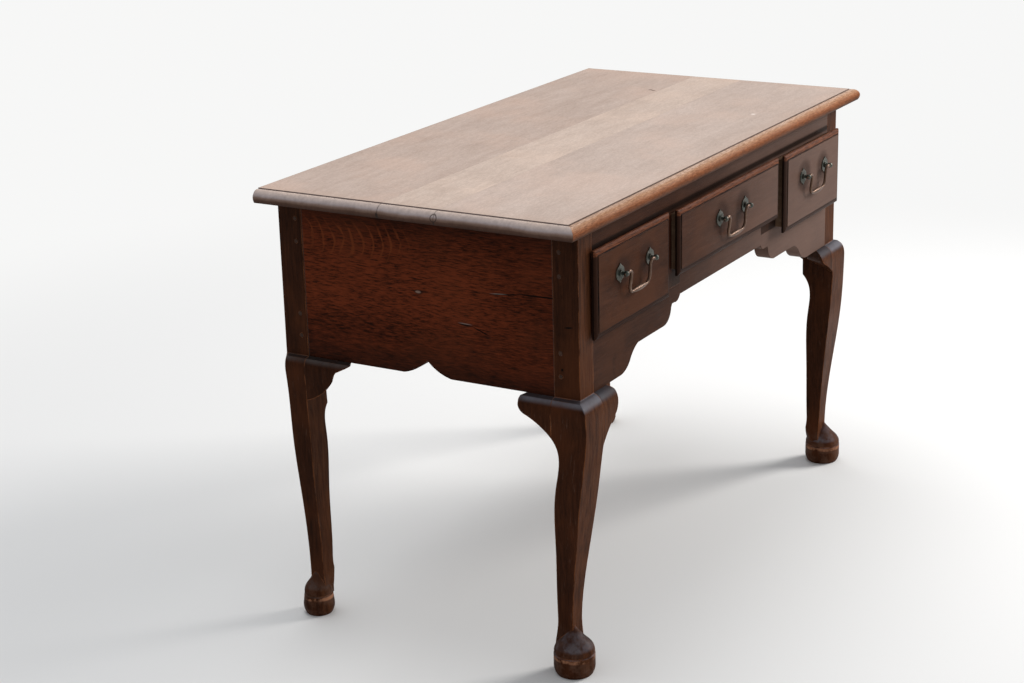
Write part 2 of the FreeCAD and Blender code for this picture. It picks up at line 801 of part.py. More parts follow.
def sawn_block(view, post, drop):
    """Silhouette of one view as a thick slab, drawn in XZ and extruded along Y."""
    return slab_of(sawn_profile(view, float(post), float(drop)))


def slab_of(edges):
    """Closed outline in the XY plane stood up in XZ and made wider than any leg along Y."""
    extent = float(d.leg_length)
    upright = face_of(*edges).rotated(FreeCAD.Vector(), FreeCAD.Vector(1, 0, 0), 90)
    upright = upright.translated(FreeCAD.Vector(0, -extent, 0))
    return upright.extrude(FreeCAD.Vector(0, 2 * extent, 0))


def corner_solid(width_view, depth_view, width_drop, depth_drop):
    """Leg with post in corner coordinates: +X and +Y lead from the case corner inwards.

    The drops are the levels down to which the post stays square in the two views.
    """
    from_front = sawn_block(width_view, d.post_width, width_drop)
    from_end = swap_xy(sawn_block(depth_view, d.post_depth, depth_drop))
    shaft = from_front.common(from_end)
    instep = size_of(f"{depth_view}_instep_radius")
    foot = foot_solid(size_of(f"{depth_view}_foot_radius"), instep)
    middle = FreeCAD.Vector(-float(d.foot_side), size_of(f"{depth_view}_foot_inset"), 0)
    shaft = shaft.cut(heel_trim(size_of(f"{depth_view}_heel_radius")).translated(middle))
    return shaft.fuse(foot.translated(middle)).removeSplitter()


def swap_xy(shape):
    """Mirror in the plane x = y, so that the two views trade places."""
    return shape.mirror(FreeCAD.Vector(), FreeCAD.Vector(1, -1, 0))


def to_corner(shape, side, at_front):
    """Carry a solid from corner coordinates to one of the case's four corners."""
    if side > 0:
        shape = shape.mirror(FreeCAD.Vector(), FreeCAD.Vector(1, 0, 0))
    if not at_front:
        shape = shape.mirror(FreeCAD.Vector(), FreeCAD.Vector(0, 1, 0))
    y = case_front if at_front else case_back
    return shape.translated(FreeCAD.Vector(float(case_end) * side, float(y), 0))


def blunt_ear(post, reach, drop, nose):
    """Outline of a knee bracket beside its post: a blunt tip, a nose and a hollow run."""
    low = float(case_low)
    root = float(post)
    tip = float(reach)
    fall = float(drop)
    blunt = (tip, low - fall * 0.26, 0)
    hollow = (tip - float(nose), low - fall * 0.5, 0)
    foot = (root, low - fall, 0)
    return [
        line((root, low, 0), (tip, low, 0)),
        line((tip, low, 0), blunt),
        flat_arc(blunt, (tip - float(nose) * 0.25, low - fall * 0.38, 0), hollow),
        flat_arc(hollow, ((root + hollow[0]) / 2 - fall * 0.06, low - fall * 0.75, 0), foot),
        line(foot, (root, low, 0)),
    ]


def pointed_ear(post, reach, drop):
    """Outline of a knee bracket beside its post: a thin tip, a step and a full belly."""
    low = float(case_low)
    root = float(post)
    tip = float(reach)
    fall = float(drop)
    point = (tip, low - fall * 0.03, 0)
    step = (tip - fall * 0.4, low - fall * 0.23, 0)
    belly = (tip - fall * 0.5, low - fall * 0.45, 0)
    foot = (root, low - fall, 0)
    return [
        line((root, low, 0), (tip, low, 0)),
        line((tip, low, 0), point),
        line(point, step),
        flat_arc(step, (tip - fall * 0.46, low - fall * 0.32, 0), belly),
        flat_arc(belly, (tip - fall * 0.775, low - fall * 0.76, 0), foot),
        line(foot, (root, low, 0)),
    ]


def bracket_solid(view, ear):
    """Knee bracket in corner coordinates, beside the leg along +X, its face towards -Y.

    The face continues the knee's own curve in the given view; the sawn edge is undercut.
    """
    low = float(case_low)
    thick = float(d.bracket_thickness)
    outer, outer_top, outer_end = outer_edges(view)
    section = [
        *outer,
        line(outer_top, (thick, low, 0)),
        line((thick, low, 0), (thick, 0, 0)),
        line((thick, 0, 0), outer_end),
    ]
    straight = slab_of(ear).common(swap_xy(slab_of(section)))
    return straight.common(undercut_slab(ear, size_of(f"{view}_shoulder")))


def undercut_slab(edges, stand_out):
    """The outline's slab, square outside the stand-out and leaning towards -X behind it."""
    extent = float(d.leg_length)
    lean = math.tan(math.radians(float(d.bracket_undercut)))
    upright = face_of(*edges).rotated(FreeCAD.Vector(), FreeCAD.Vector(1, 0, 0), 90)
    upright = upright.translated(FreeCAD.Vector(0, -stand_out, 0))
    outside = upright.extrude(FreeCAD.Vector(0, -extent, 0))
    return outside.fuse(upright.extrude(FreeCAD.Vector(-extent * lean, extent, 0)))


def flat_arc(start, via, end):
    return Part.Arc(*[FreeCAD.Vector(*point) for point in (start, via, end)]).toShape()


def shaped(label, shape):
    feature = doc.addObject("Part::Feature", label)
    feature.Shape = shape
    return feature


def make_legs(tenoned):
    """tenoned: for each end's name, what is let into its front and back posts."""
    for name, side in SIDES:
        face_drop = size_of(f"{name}_bracket_drop")
        front = corner_solid("side", "front", face_drop, d.end_bracket_drop)
        back = corner_solid("rear", "back", d.rear_post_drop, d.back_bracket_drop)
        for end, corner in (("front", front), ("back", back)):
            blank = shaped(f"{end}_{name}_leg_blank", to_corner(corner, side, end == "front"))
            keep(cut(f"{end}_{name}_leg", blank, *tenoned[name, end]))


def make_brackets():
    end_size = (d.post_depth, d.end_bracket_reach, d.end_bracket_drop, d.end_bracket_nose)
    front_ear = blunt_ear(*end_size)
    back_ear = pointed_ear(d.post_depth, d.back_bracket_reach, d.back_bracket_drop)
    for name, side in SIDES:
        for end, width_view, ear in (("front", "side", front_ear), ("back", "rear", back_ear)):
            bracket = swap_xy(bracket_solid(width_view, ear))
            keep(shaped(f"{end}_{name}_end_bracket", to_corner(bracket, side, end == "front")))
        drop = size_of(f"{name}_bracket_drop")
        face_ear = blunt_ear(d.post_width, d.face_bracket_reach, drop, d.face_bracket_nose)
        face_bracket = to_corner(bracket_solid("front", face_ear), side, True)
        keep(shaped(f"front_{name}_face_bracket", face_bracket))


# ---------------------------------------------------------------- inside the case

def make_runner(label, side, guide, bearer, level, guide_run):
    """Bearer under a drawer's side with a guide beside it; guide and bearer are x spans."""
    low = level - d.runner_thickness
    keep(
        fuse(
            label,
            block(f"{label}_bearer", mirror(bearer, side), (rail_back, back_inner), (low, level)),
            block(f"{label}_guide", mirror(guide, side), guide_run, (low, level + d.runner_guide)),
        )
    )


def make_runners():
    full_run = (rail_back, back_inner)
    for name, side in SIDES:
        make_runner(
            f"{name}_drawer_outer_runner",
            side,
            (post_inner, panel_inner),
            (post_inner - d.bearer_width, post_inner),
            deep_sill,
            (case_front + d.post_depth, case_back - d.post_depth),
        )
        make_runner(
            f"{name}_drawer_inner_runner",
            side,
            (muntin_outer - d.guide_thickness, muntin_outer),
            (muntin_outer, muntin_outer + d.bearer_width),
            deep_sill,
            full_run,
        )
        make_runner(
            f"centre_drawer_{name}_runner",
            side,
            (muntin_inner, muntin_inner + d.guide_thickness),
            (muntin_inner - d.bearer_width, muntin_inner),
            shallow_sill,
            full_run,
        )


def make_kickers():
    deep_middle = (muntin_outer + post_inner) / 2
    for name, middle in (("left", -deep_middle), ("centre", Size(0)), ("right", deep_middle)):
        keep(
            block(
                f"{name}_kicker",
                (middle - d.kicker_width / 2, middle + d.kicker_width / 2),
                (rail_back, back_inner),
                (rail_under, rail_under + d.kicker_thickness),
            )
        )


def make_glue_blocks():
    """Blocks glued in the angle between the top and the end and back panels."""
    blocks = []
    levels = (top_under - d.glue_block, top_under)
    first = case_front + d.post_depth
    run = case_back - d.post_depth - first
    for name, side in SIDES:
        for number in (1, 2):
            middle = first + run * (number / 3)
            blocks.append(
                block(
                    f"{name}_glue_block_{number}",
                    mirror((panel_inner - d.glue_block, panel_inner), side),
                    (middle - d.glue_block_length / 2, middle + d.glue_block_length / 2),
                    levels,
                )
            )
        middle = muntin_inner * side
        blocks.append(
            block(
                f"{name}_back_glue_block",
                (middle - d.glue_block_length / 2, middle + d.glue_block_length / 2),
                (back_inner - d.glue_block, back_inner),
                levels,
            )
        )
    keep(group("top_glue_blocks", *blocks))


# ---------------------------------------------------------------- drawers

def lip_section(low, high, back):
    """Section of a lipped front across two opposite edges: u across, v front to back."""
    face = back - d.lip_thickness
    edge = back - d.lip_edge
    step = face + d.lip_mould_step
    curve = step + (edge - step) * 0.3

    def side_of(limit, inwards):
        inner = limit + d.lip_mould_width * inwards
        return [
            (limit, back),
            (limit, edge),
            (limit + d.lip_mould_width * (0.3 * inwards), curve, VIA),
            (inner, step),
            (inner, face),
        ]

    return side_of(low, 1) + side_of(high, -1)[::-1]


def make_front(name, x, z, lip_back, level):
    """Lipped front and the holes for its handle posts."""
    lip_x = (x[0] - d.lip_overlap, x[1] + d.lip_overlap)
    lip_z = (z[0] - d.lip_overlap, z[1] + d.lip_overlap)
    upright = [(v, u, *via) for u, v, *via in lip_section(*lip_z, lip_back)]
    along = board(f"{name}_lip_along", YZ, upright, *lip_x)
    across = board(f"{name}_lip_across", XY, lip_section(*lip_x, lip_back), *lip_z)
    lip = common(f"{name}_lip", along, across)
    inner = block(
        f"{name}_front_inner",
        (x[0] + d.drawer_play, x[1] - d.drawer_play),
        (lip_back, lip_back + d.front_inner_thickness),
        (z[0] + d.running_gap, z[1] - d.drawer_play),
    )
    blank = fuse(f"{name}_front_blank", lip, inner)
    middle = (x[0] + x[1]) / 2
    holes = [
        rod(
            f"{name}_post_hole_{word}",
            d.post_neck,
            d.lip_thickness + d.front_inner_thickness,
            "y",
            middle + d.handle_spacing * (0.5 * way),
            lip_back - d.lip_thickness,
            level,
        )
        for word, way in SIDES
    ]
    return blank, holes


def tail_outline(z, front, back, lap_front, tail_back):
    """Side of a drawer in the YZ plane, with dovetails at both ends."""
    low, high = z
    count = max(2, round((float(high) - float(low)) / float(d.tail_pitch)))
    pitch = (high - low) / count
    root, tip = pitch * 0.24, pitch * 0.24 + d.tail_flare

    def end(shoulder, reach):
        corners = []
        for number in range(count):
            middle = low + pitch * (number + 0.5)
            corners += [
                (shoulder, middle - root),
                (reach, middle - tip),
                (reach, middle + tip),
                (shoulder, middle + root),
            ]
        return corners

    return (
        [(back, low)]
        + end(back, tail_back)
        + [(back, high), (front, high)]
        + end(front, lap_front)[::-1]
        + [(front, low)]
    )


def make_drawer(name, x, z, lip_back, level):
    """Box of one drawer; x and z are the opening's low and high."""
    box_x = (x[0] + d.drawer_play, x[1] - d.drawer_play)
    box_z = (z[0] + d.running_gap, z[1] - d.drawer_play)
    shoulder = lip_back + d.front_inner_thickness
    lap = lip_back + d.dovetail_lap
    back_end = lip_back + drawer_length
    back_face = back_end - d.side_thickness
    bottom_z = (box_z[0] + d.bottom_level, box_z[0] + d.bottom_level + d.bottom_thickness)
    inner_x = (box_x[0] + d.side_thickness, box_x[1] - d.side_thickness)

    bottom = keep(
        block(
            f"{name}_drawer_bottom",
            (inner_x[0] - d.groove_depth, inner_x[1] + d.groove_depth),
            (shoulder - d.groove_depth, back_end),
            bottom_z,
        )
    )
    sides = []
    corners = tail_outline(box_z, shoulder, back_face, lap, back_end)
    for word, low in (("left", box_x[0]), ("right", inner_x[1])):
        blank = board(
            f"{name}_{word}_side_blank", YZ, corners, low, low + d.side_thickness
        )
        sides.append(keep(cut(f"{name}_drawer_{word}_side", blank, bottom)))
    blank, holes = make_front(name, x, z, lip_back, level)
    keep(cut(f"{name}_drawer_front", blank, bottom, *sides, *holes))
    back = block(
        f"{name}_back_blank",
        box_x,
        (back_face, back_end),
        (bottom_z[1], box_z[1]),
    )
    keep(cut(f"{name}_drawer_back", back, *sides))


# ---------------------------------------------------------------- handles

def plate_outline(x, level):
    """Pointed oval backplate, drawn in the XZ plane about (x, level)."""
    half = d.plate_height / 2
    wide = d.plate_width / 2
    tip = half * 0.62
    return [
        (x, level + half),
        (x + d.plate_waist * 0.4, level + half * 0.78, VIA),
        (x + d.plate_waist, level + tip),
        (x + wide, level, VIA),
        (x + d.plate_waist, level - tip),
        (x + d.plate_waist * 0.4, level - half * 0.78, VIA),
        (x, level - half),
        (x - d.plate_waist * 0.4, level - half * 0.78, VIA),
        (x - d.plate_waist, level - tip),
        (x - wide, level, VIA),
        (x - d.plate_waist, level + tip),
        (x - d.plate_waist * 0.4, level + half * 0.78, VIA),
    ]


def post_outline():
    """Half section of a handle post; u runs along Y from the drawer's face, v is the radius."""
    pivot = -d.pivot_reach
    ball = d.post_ball
    thread_end = d.lip_thickness + d.front_inner_thickness + d.shank_end
    collar_front = -d.plate_thickness - d.collar_length
    return [
        (pivot - ball, Size(0)),
        (pivot - ball * 0.6, ball * 0.8, VIA),
        (pivot + ball * 0.8, ball * 0.6),
        (collar_front, d.post_neck),
        (collar_front, d.post_collar),
        (-d.plate_thickness, d.post_collar),
        (-d.plate_thickness, d.post_neck),
        (thread_end, d.post_neck),
        (thread_end, Size(0)),
    ]


def bail_solid(pivot):
    """Swan-neck bail, its grip leaning a little to the drawer; pivot is the middle of its pivot axis."""
    half = size_of("handle_spacing") / 2
    ball = size_of("post_ball")
    neck = size_of("bail_neck")
    arch = size_of("bail_arch")
    corner = size_of("bail_corner")
    drop = size_of("bail_drop")
    wire = size_of("bail_radius")
    pin = size_of("pin_radius")
    grip = size_of("grip_radius")
    rise = math.radians(30)
    flare = math.radians(4)
    lean = 6

    def point(u, w):
        return FreeCAD.Vector(u, 0, w)

    def bend(centre, radius, start, end):
        angles = (start, (start + end) / 2, end)
        spots = [
            point(centre[0] + radius * math.cos(a), centre[1] + radius * math.sin(a))
            for a in angles
        ]
        return Part.Arc(*spots).toShape(), spots[2]

    quarter = math.pi / 2
    left = -half + ball
    neck_centre = (left, neck)
    neck_edge, neck_end = bend(neck_centre, neck, -quarter, -quarter + rise)
    arch_centre = (neck_end.x + arch * math.sin(rise), neck_end.z - arch * math.cos(rise))
    arch_edge, arch_end = bend(arch_centre, arch, quarter + rise, -flare)
    corner_level = -drop + corner
    corner_top = corner_level - corner * math.sin(flare)
    fall = arch_end.z - corner_top
    arm_foot = point(arch_end.x - fall * math.tan(flare), corner_top)
    corner_centre = (arm_foot.x + corner * math.cos(flare), corner_level)
    corner_edge, grip_left = bend(corner_centre, corner, math.pi + flare, 3 * quarter)
    arm = Part.makeLine(arch_end, arm_foot)
    half_path = [neck_edge, arch_edge, arm, corner_edge]
    half_path.append(Part.makeLine(grip_left, point(0, -drop)))
    path = Part.Wire(half_path)
    start = Part.makeCircle(wire, point(left, 0), FreeCAD.Vector(1, 0, 0))
    sweep = path.makePipeShell([Part.Wire(start)], True, False)
    spindle = [
        Part.makeLine(point(grip_left.x, -drop), point(0, -drop)),
        Part.makeLine(point(0, -drop), point(0, -drop + grip)),
        Part.Arc(
            point(0, -drop + grip),
            point(grip_left.x * 0.5, -drop + wire * 0.3 + grip * 0.7),
            point(grip_left.x, -drop + wire * 0.9),
        ).toShape(),
        Part.makeLine(point(grip_left.x, -drop + wire * 0.9), point(grip_left.x, -drop)),
    ]
    swelling = Part.Face(Part.Wire(spindle)).revolve(point(0, -drop), FreeCAD.Vector(1, 0, 0), 360)
    proud = size_of("pin_proud")
    pin_start = point(left - 2 * ball - proud, 0)
    pin_rod = Part.makeCylinder(pin, 2 * (ball + proud), pin_start, FreeCAD.Vector(1, 0, 0))
    arm_side = sweep.fuse([swelling, pin_rod])
    whole = arm_side.fuse(arm_side.mirror(FreeCAD.Vector(), FreeCAD.Vector(1, 0, 0)))
    hung = whole.removeSplitter().rotated(FreeCAD.Vector(), FreeCAD.Vector(1, 0, 0), lean)
    return hung.translated(FreeCAD.Vector(*[float(size) for size in pivot]))


def make_handle(name, x, lip_back, level):
    middle = (x[0] + x[1]) / 2
    front_face = lip_back - d.lip_thickness
    pivot_y = front_face - d.pivot_reach
    nut_front = lip_back + d.front_inner_thickness
    plates, posts, nuts = [], [], []
    for word, way in SIDES:
        at = middle + d.handle_spacing * (0.5 * way)
        plate = board(
            f"{name}_{word}_plate_blank",
            XZ,
            plate_outline(at, level),
            front_face - d.plate_thickness,
            front_face,
        )
        stem = place(turned(f"{name}_{word}_stem", post_outline()), x=at, y=front_face, z=level)
        plates.append(cut(f"{name}_{word}_plate", plate, stem))
        eye = rod(
            f"{name}_{word}_eye",
            d.pin_radius + d.pin_clearance,
            d.post_ball * 4,
            "x",
            at - d.post_ball * 2,
            pivot_y,
            level,
        )
        posts.append(cut(f"{name}_{word}_post", stem, eye))
        nut = block(
            f"{name}_{word}_nut_blank",
            (at - d.nut_width / 2, at + d.nut_width / 2),
            (nut_front, nut_front + d.nut_thickness),
            (level - d.nut_width / 2, level + d.nut_width / 2),
        )
        nuts.append(cut(f"{name}_{word}_nut", nut, stem))
    keep(group(f"{name}_handle_plates", *plates))
    keep(group(f"{name}_handle_posts", *posts))
    keep(group(f"{name}_handle_nuts", *nuts))
    keep(shaped(f"{name}_bail", bail_solid((middle, pivot_y, level))))


# ---------------------------------------------------------------- assembly

make_top()
rail, aprons = make_front_frame()
back_panel = make_back_panel()
all_pegs = []
tenoned = {}
for name, side in SIDES:
    pegs = make_pegs(name, side)
    all_pegs += pegs
    panel = make_end_panel(name, side, pegs)
    front_pegs = [peg for peg in pegs if "_front_" in peg.Label]
    back_pegs = [peg for peg in pegs if "_back_" in peg.Label]
    tenoned[name, "front"] = [panel, rail, aprons[name]] + front_pegs
    tenoned[name, "back"] = [panel, back_panel] + back_pegs
keep(group("frame_pegs", *all_pegs))
make_legs(tenoned)
make_brackets()
make_runners()
make_kickers()
make_glue_blocks()

deep = ((deep_sill, rail_under), deep_sill + deep_opening * d.deep_handle_share)
shallow = ((shallow_sill, rail_under), shallow_sill + shallow_opening * d.shallow_handle_share)
drawers = (
    ("left", (-post_inner, -muntin_outer), deep, d.left_drawer_ajar),
    ("centre", (-muntin_inner, muntin_inner), shallow, d.centre_drawer_ajar),
    ("right", (muntin_outer, post_inner), deep, d.right_drawer_ajar),
)
for name, x, (z, handle_level), ajar in drawers:
    make_drawer(name, x, z, case_front - ajar, handle_level)
    make_handle(name, x, case_front - ajar, handle_level)

doc.recompute()

faults = [o.Label for o in doc.Objects if {"Invalid", "Error"} & set(o.State)]
faults += [o.Label for o in parts if o.Shape.isNull() or not o.Shape.isValid()]
if faults:
    raise RuntimeError("failed: " + ", ".join(faults))

os.makedirs("parts", exist_ok=True)
for part in parts:
    part.Shape.exportStep(f"parts/{part.Label}.step")
print(len(parts), "sub-parts written")
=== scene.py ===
import math
import random

import bpy
from mathutils import Matrix, Vector


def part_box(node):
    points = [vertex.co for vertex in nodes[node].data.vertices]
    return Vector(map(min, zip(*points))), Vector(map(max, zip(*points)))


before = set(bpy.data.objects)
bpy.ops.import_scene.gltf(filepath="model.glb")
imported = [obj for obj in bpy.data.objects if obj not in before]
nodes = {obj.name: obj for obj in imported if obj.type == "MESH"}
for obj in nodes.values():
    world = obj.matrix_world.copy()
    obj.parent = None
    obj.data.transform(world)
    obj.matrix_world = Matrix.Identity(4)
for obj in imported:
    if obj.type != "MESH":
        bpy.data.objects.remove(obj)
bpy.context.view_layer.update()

scene = bpy.context.scene
scene.view_settings.view_transform = "Standard"


# ---------------------------------------------------------------- camera

# the photo's camera, solved from the straight edges of top, case and legs: its place, its turn
# as a rotation vector from the frame to the photo's axes (x right, y down, z away), its lens
CAMERA_PLACE = (-2.9778, -1.5949, 1.4431)
CAMERA_TURN = (1.6738, -0.9867, 0.6858)
CAMERA_LENS = 72.63
SENSOR_WIDTH = 36.0


def make_camera():
    data = bpy.data.cameras.new("camera")
    data.sensor_width = SENSOR_WIDTH
    data.lens = CAMERA_LENS
    data.clip_start = 0.1
    data.clip_end = 60.0
    camera = bpy.data.objects.new("camera", data)
    scene.collection.objects.link(camera)
    turn = Vector(CAMERA_TURN)
    world_to_view = Matrix.Rotation(turn.length, 3, turn.normalized())
    flip = Matrix(((1, 0, 0), (0, -1, 0), (0, 0, -1)))
    view_to_world = (world_to_view.transposed() @ flip).to_4x4()
    camera.matrix_world = Matrix.Translation(CAMERA_PLACE) @ view_to_world
    scene.camera = camera


# ---------------------------------------------------------------- stage and light

FLOOR_REACH = 40.0
FLOOR_COLOUR = (0.80, 0.80, 0.79, 1)
# what the floor fades to, and how far from the table's middle the fading starts and ends
BACKDROP_COLOUR = (0.93, 0.93, 0.925, 1)
FADE_START = 0.9
FADE_END = 2.6

SKY_COLOUR = (0.94, 0.96, 1.0, 1)
SKY_STRENGTH = 0.52
# place, target, diameter, power in watts and colour of each lamp
LAMPS = {
    "window_light": ((3.0, -2.3, 2.3), (0.1, -0.2, 0.45), 1.7, 150.0, (1.0, 0.975, 0.95)),
    "top_light": ((0.3, 0.7, 3.8), (0, 0, 0.5), 2.6, 56.0, (1, 1, 1)),
}


def make_stage():
    """Plain pale floor that fades to white away from the table and keeps its shadow."""
    mesh = bpy.data.meshes.new("floor")
    reach = FLOOR_REACH
    mesh.from_pydata(
        [(-reach, -reach, 0), (reach, -reach, 0), (reach, reach, 0), (-reach, reach, 0)],
        [],
        [(0, 1, 2, 3)],
    )
    floor = bpy.data.objects.new("floor", mesh)
    scene.collection.objects.link(floor)
    graph = Graph("floor_paint")
    shader = graph.shader
    shader.inputs["Base Color"].default_value = FLOOR_COLOUR
    shader.inputs["Roughness"].default_value = 0.9
    shader.inputs["Specular IOR Level"].default_value = 0.1
    white = graph.node("ShaderNodeEmission")
    white.inputs["Color"].default_value = BACKDROP_COLOUR
    white.inputs["Strength"].default_value = 1.0
    away = graph.span(graph.length(graph.place), FADE_START, FADE_END, smooth=True)
    share = graph.math("MULTIPLY", away, seen_rays(graph))
    mixer = graph.node("ShaderNodeMixShader")
    graph.join(share, mixer.inputs["Fac"])
    graph.join(shader.outputs["BSDF"], mixer.inputs[1])
    graph.join(white.outputs["Emission"], mixer.inputs[2])
    graph.join(mixer.outputs["Shader"], graph.output.inputs["Surface"])
    mesh.materials.append(graph.material)


def seen_rays(graph):
    """1 for what the eye sees directly, in a mirror or through glass; 0 for light on objects."""
    rays = graph.node("ShaderNodeLightPath").outputs
    direct = graph.math("ADD", rays["Is Camera Ray"], rays["Is Glossy Ray"])
    return graph.math("ADD", direct, rays["Is Transmission Ray"], clamp=True)


def make_area(name, place, target, size, power, colour):
    data = bpy.data.lights.new(name, "AREA")
    data.shape = "DISK"
    data.size = size
    data.energy = power
    data.color = colour
    lamp = bpy.data.objects.new(name, data)
    scene.collection.objects.link(lamp)
    lamp.location = place
    direction = Vector(target) - Vector(place)
    lamp.rotation_mode = "QUATERNION"
    lamp.rotation_quaternion = direction.to_track_quat("-Z", "Y")


def make_light():
    world = bpy.data.worlds.new("studio")
    scene.world = world
    world.use_nodes = True
    background = world.node_tree.nodes["Background"]
    background.inputs["Color"].default_value = SKY_COLOUR
    background.inputs["Strength"].default_value = SKY_STRENGTH
    for name, lamp in LAMPS.items():
        make_area(name, *lamp)


# ---------------------------------------------------------------- node graphs

class Graph:
    """A material under construction: its methods add nodes, and most return an output socket."""

    def __init__(self, name):
        self.material = bpy.data.materials.new(name)
        self.material.use_nodes = True
        self.tree = self.material.node_tree
        self.tree.nodes.clear()
        self.shader = self.node("ShaderNodeBsdfPrincipled")
        self.output = self.node("ShaderNodeOutputMaterial")
        self.join(self.shader.outputs["BSDF"], self.output.inputs["Surface"])
        self.place = self.node("ShaderNodeTexCoord").outputs["Object"]

    def node(self, kind):
        return self.tree.nodes.new(kind)

    def join(self, source, socket):
        if isinstance(source, bpy.types.NodeSocket):
            self.tree.links.new(source, socket)
        elif isinstance(source, (tuple, list)) and len(socket.default_value) > len(source):
            socket.default_value = (*source, 1.0)
        else:
            socket.default_value = source

    def math(self, operation, *values, clamp=False):
        node = self.node("ShaderNodeMath")
        node.operation = operation
        node.use_clamp = clamp
        for socket, value in zip(node.inputs, values):
            self.join(value, socket)
        return node.outputs[0]

    def vector(self, operation, one, other):
        node = self.node("ShaderNodeVectorMath")
        node.operation = operation
        self.join(one, node.inputs[0])
        self.join(other, node.inputs[3 if operation == "SCALE" else 1])
        return node.outputs["Value" if operation in ("DOT_PRODUCT", "LENGTH") else "Vector"]

    def length(self, vector):
        return self.vector("LENGTH", vector, (0, 0, 0))

    def split(self, vector):
        node = self.node("ShaderNodeSeparateXYZ")
        self.join(vector, node.inputs[0])
        return node.outputs[0], node.outputs[1], node.outputs[2]

    def merge(self, x, y, z):
        node = self.node("ShaderNodeCombineXYZ")
        for value, socket in zip((x, y, z), node.inputs):
            self.join(value, socket)
        return node.outputs[0]

    def noise(self, vector, scale=1.0, detail=3.0, rough=0.5):
        node = self.node("ShaderNodeTexNoise")
        self.join(vector, node.inputs["Vector"])
        node.inputs["Scale"].default_value = scale
        node.inputs["Detail"].default_value = detail
        node.inputs["Roughness"].default_value = rough
        return node.outputs["Fac"]

    def span(self, value, low, high, out_low=0.0, out_high=1.0, smooth=False):
        node = self.node("ShaderNodeMapRange")
        node.clamp = True
        if smooth:
            node.interpolation_type = "SMOOTHSTEP"
        for socket, number in zip(node.inputs, (value, low, high, out_low, out_high)):
            self.join(number, socket)
        return node.outputs[0]

    def mix(self, share, one, other, kind="MIX"):
        node = self.node("ShaderNodeMix")
        node.data_type = "RGBA"
        node.blend_type = kind
        self.join(share, node.inputs[0])
        self.join(one, node.inputs[6])
        self.join(other, node.inputs[7])
        return node.outputs[2]

    def shade(self, colour, factor):
        """Colour made darker or lighter by a factor."""
        return self.mix(1.0, colour, self.merge(factor, factor, factor), "MULTIPLY")

    def paint(self, mask, colour):
        """Lay colour over the material's own where the mask is 1."""
        self.colour = self.mix(mask, self.colour, colour)

    def ramp(self, value, *stops):
        node = self.node("ShaderNodeValToRGB")
        self.join(value, node.inputs[0])
        ramp = node.color_ramp
        while len(ramp.elements) < len(stops):
            ramp.elements.new(0.5)
        for element, (position, colour) in zip(ramp.elements, stops):
            element.position = position
            element.color = (*colour, 1)
        return node.outputs[0]

    def bump(self, height, strength, distance, normal):
        node = self.node("ShaderNodeBump")
        node.inputs["Strength"].default_value = strength
        node.inputs["Distance"].default_value = distance
        self.join(height, node.inputs["Height"])
        self.join(normal, node.inputs["Normal"])
        return node.outputs[0]

    def rounded(self, radius):
        node = self.node("ShaderNodeBevel")
        node.samples = 6
        node.inputs["Radius"].default_value = radius
        return node.outputs[0]

    def facing(self):
        """The surface's own normal, without rounding or relief."""
        return self.node("ShaderNodeNewGeometry").outputs["Normal"]

    def edge(self, rounded):
        """1 along sharp arrises, 0 on flats, from the rounded normal."""
        along = self.vector("DOT_PRODUCT", rounded, self.facing())
        return self.span(along, 0.97, 0.80)

    def band(self, value, middle, half, soft):
        """1 where value is within half of middle, fading over soft."""
        away = self.math("ABSOLUTE", self.math("SUBTRACT", value, middle))
        return self.span(away, half, half + soft, 1.0, 0.0, smooth=True)


def stretched(graph, place, grain, ratio):
    """Place squeezed across the grain, so that a texture in it runs along the grain."""
    factors = [ratio] * 3
    factors["xyz".index(grain)] = 1
    return graph.vector("MULTIPLY", place, factors)


# top of a foot, and the levels between which its broken painted sky sheen gives way to the leg's
# even one
FOOT_TOP = 0.044
BROKEN_END = (0.12, 0.16)


def add_bloom(graph, normal, sky_sheen, share):
    """Painted cool sheen, the sky's reflection on what leans back to it; broken on the feet, dark
    where it lies flat.
    """
    upward = graph.split(normal)[2]
    z = graph.split(graph.place)[2]
    mask = graph.math("MULTIPLY", graph.span(upward, 0.26, 0.62, smooth=True),
                      graph.span(graph.noise(graph.place, 30.0, 3.0, 0.6), 0.30, 0.60, 0.5, 1.0))
    broken = graph.span(graph.noise(graph.place, 55.0, 3.0, 0.6), 0.42, 0.60, 0.15, 0.95)
    shoulder = graph.span(z, FOOT_TOP, FOOT_TOP + 0.010, 1.0, 0.45)
    foot = graph.math("MULTIPLY", broken, shoulder)
    foot = graph.mix(graph.span(z, *BROKEN_END), graph.merge(foot, foot, foot), (1.0, 1.0, 1.0))
    mask = graph.math("MULTIPLY", mask, graph.split(foot)[0])
    colour = graph.mix(graph.span(upward, 0.80, 0.95), sky_sheen, darker(sky_sheen, 0.34))
    graph.paint(graph.math("MULTIPLY", mask, share), colour)


# ---------------------------------------------------------------- oak

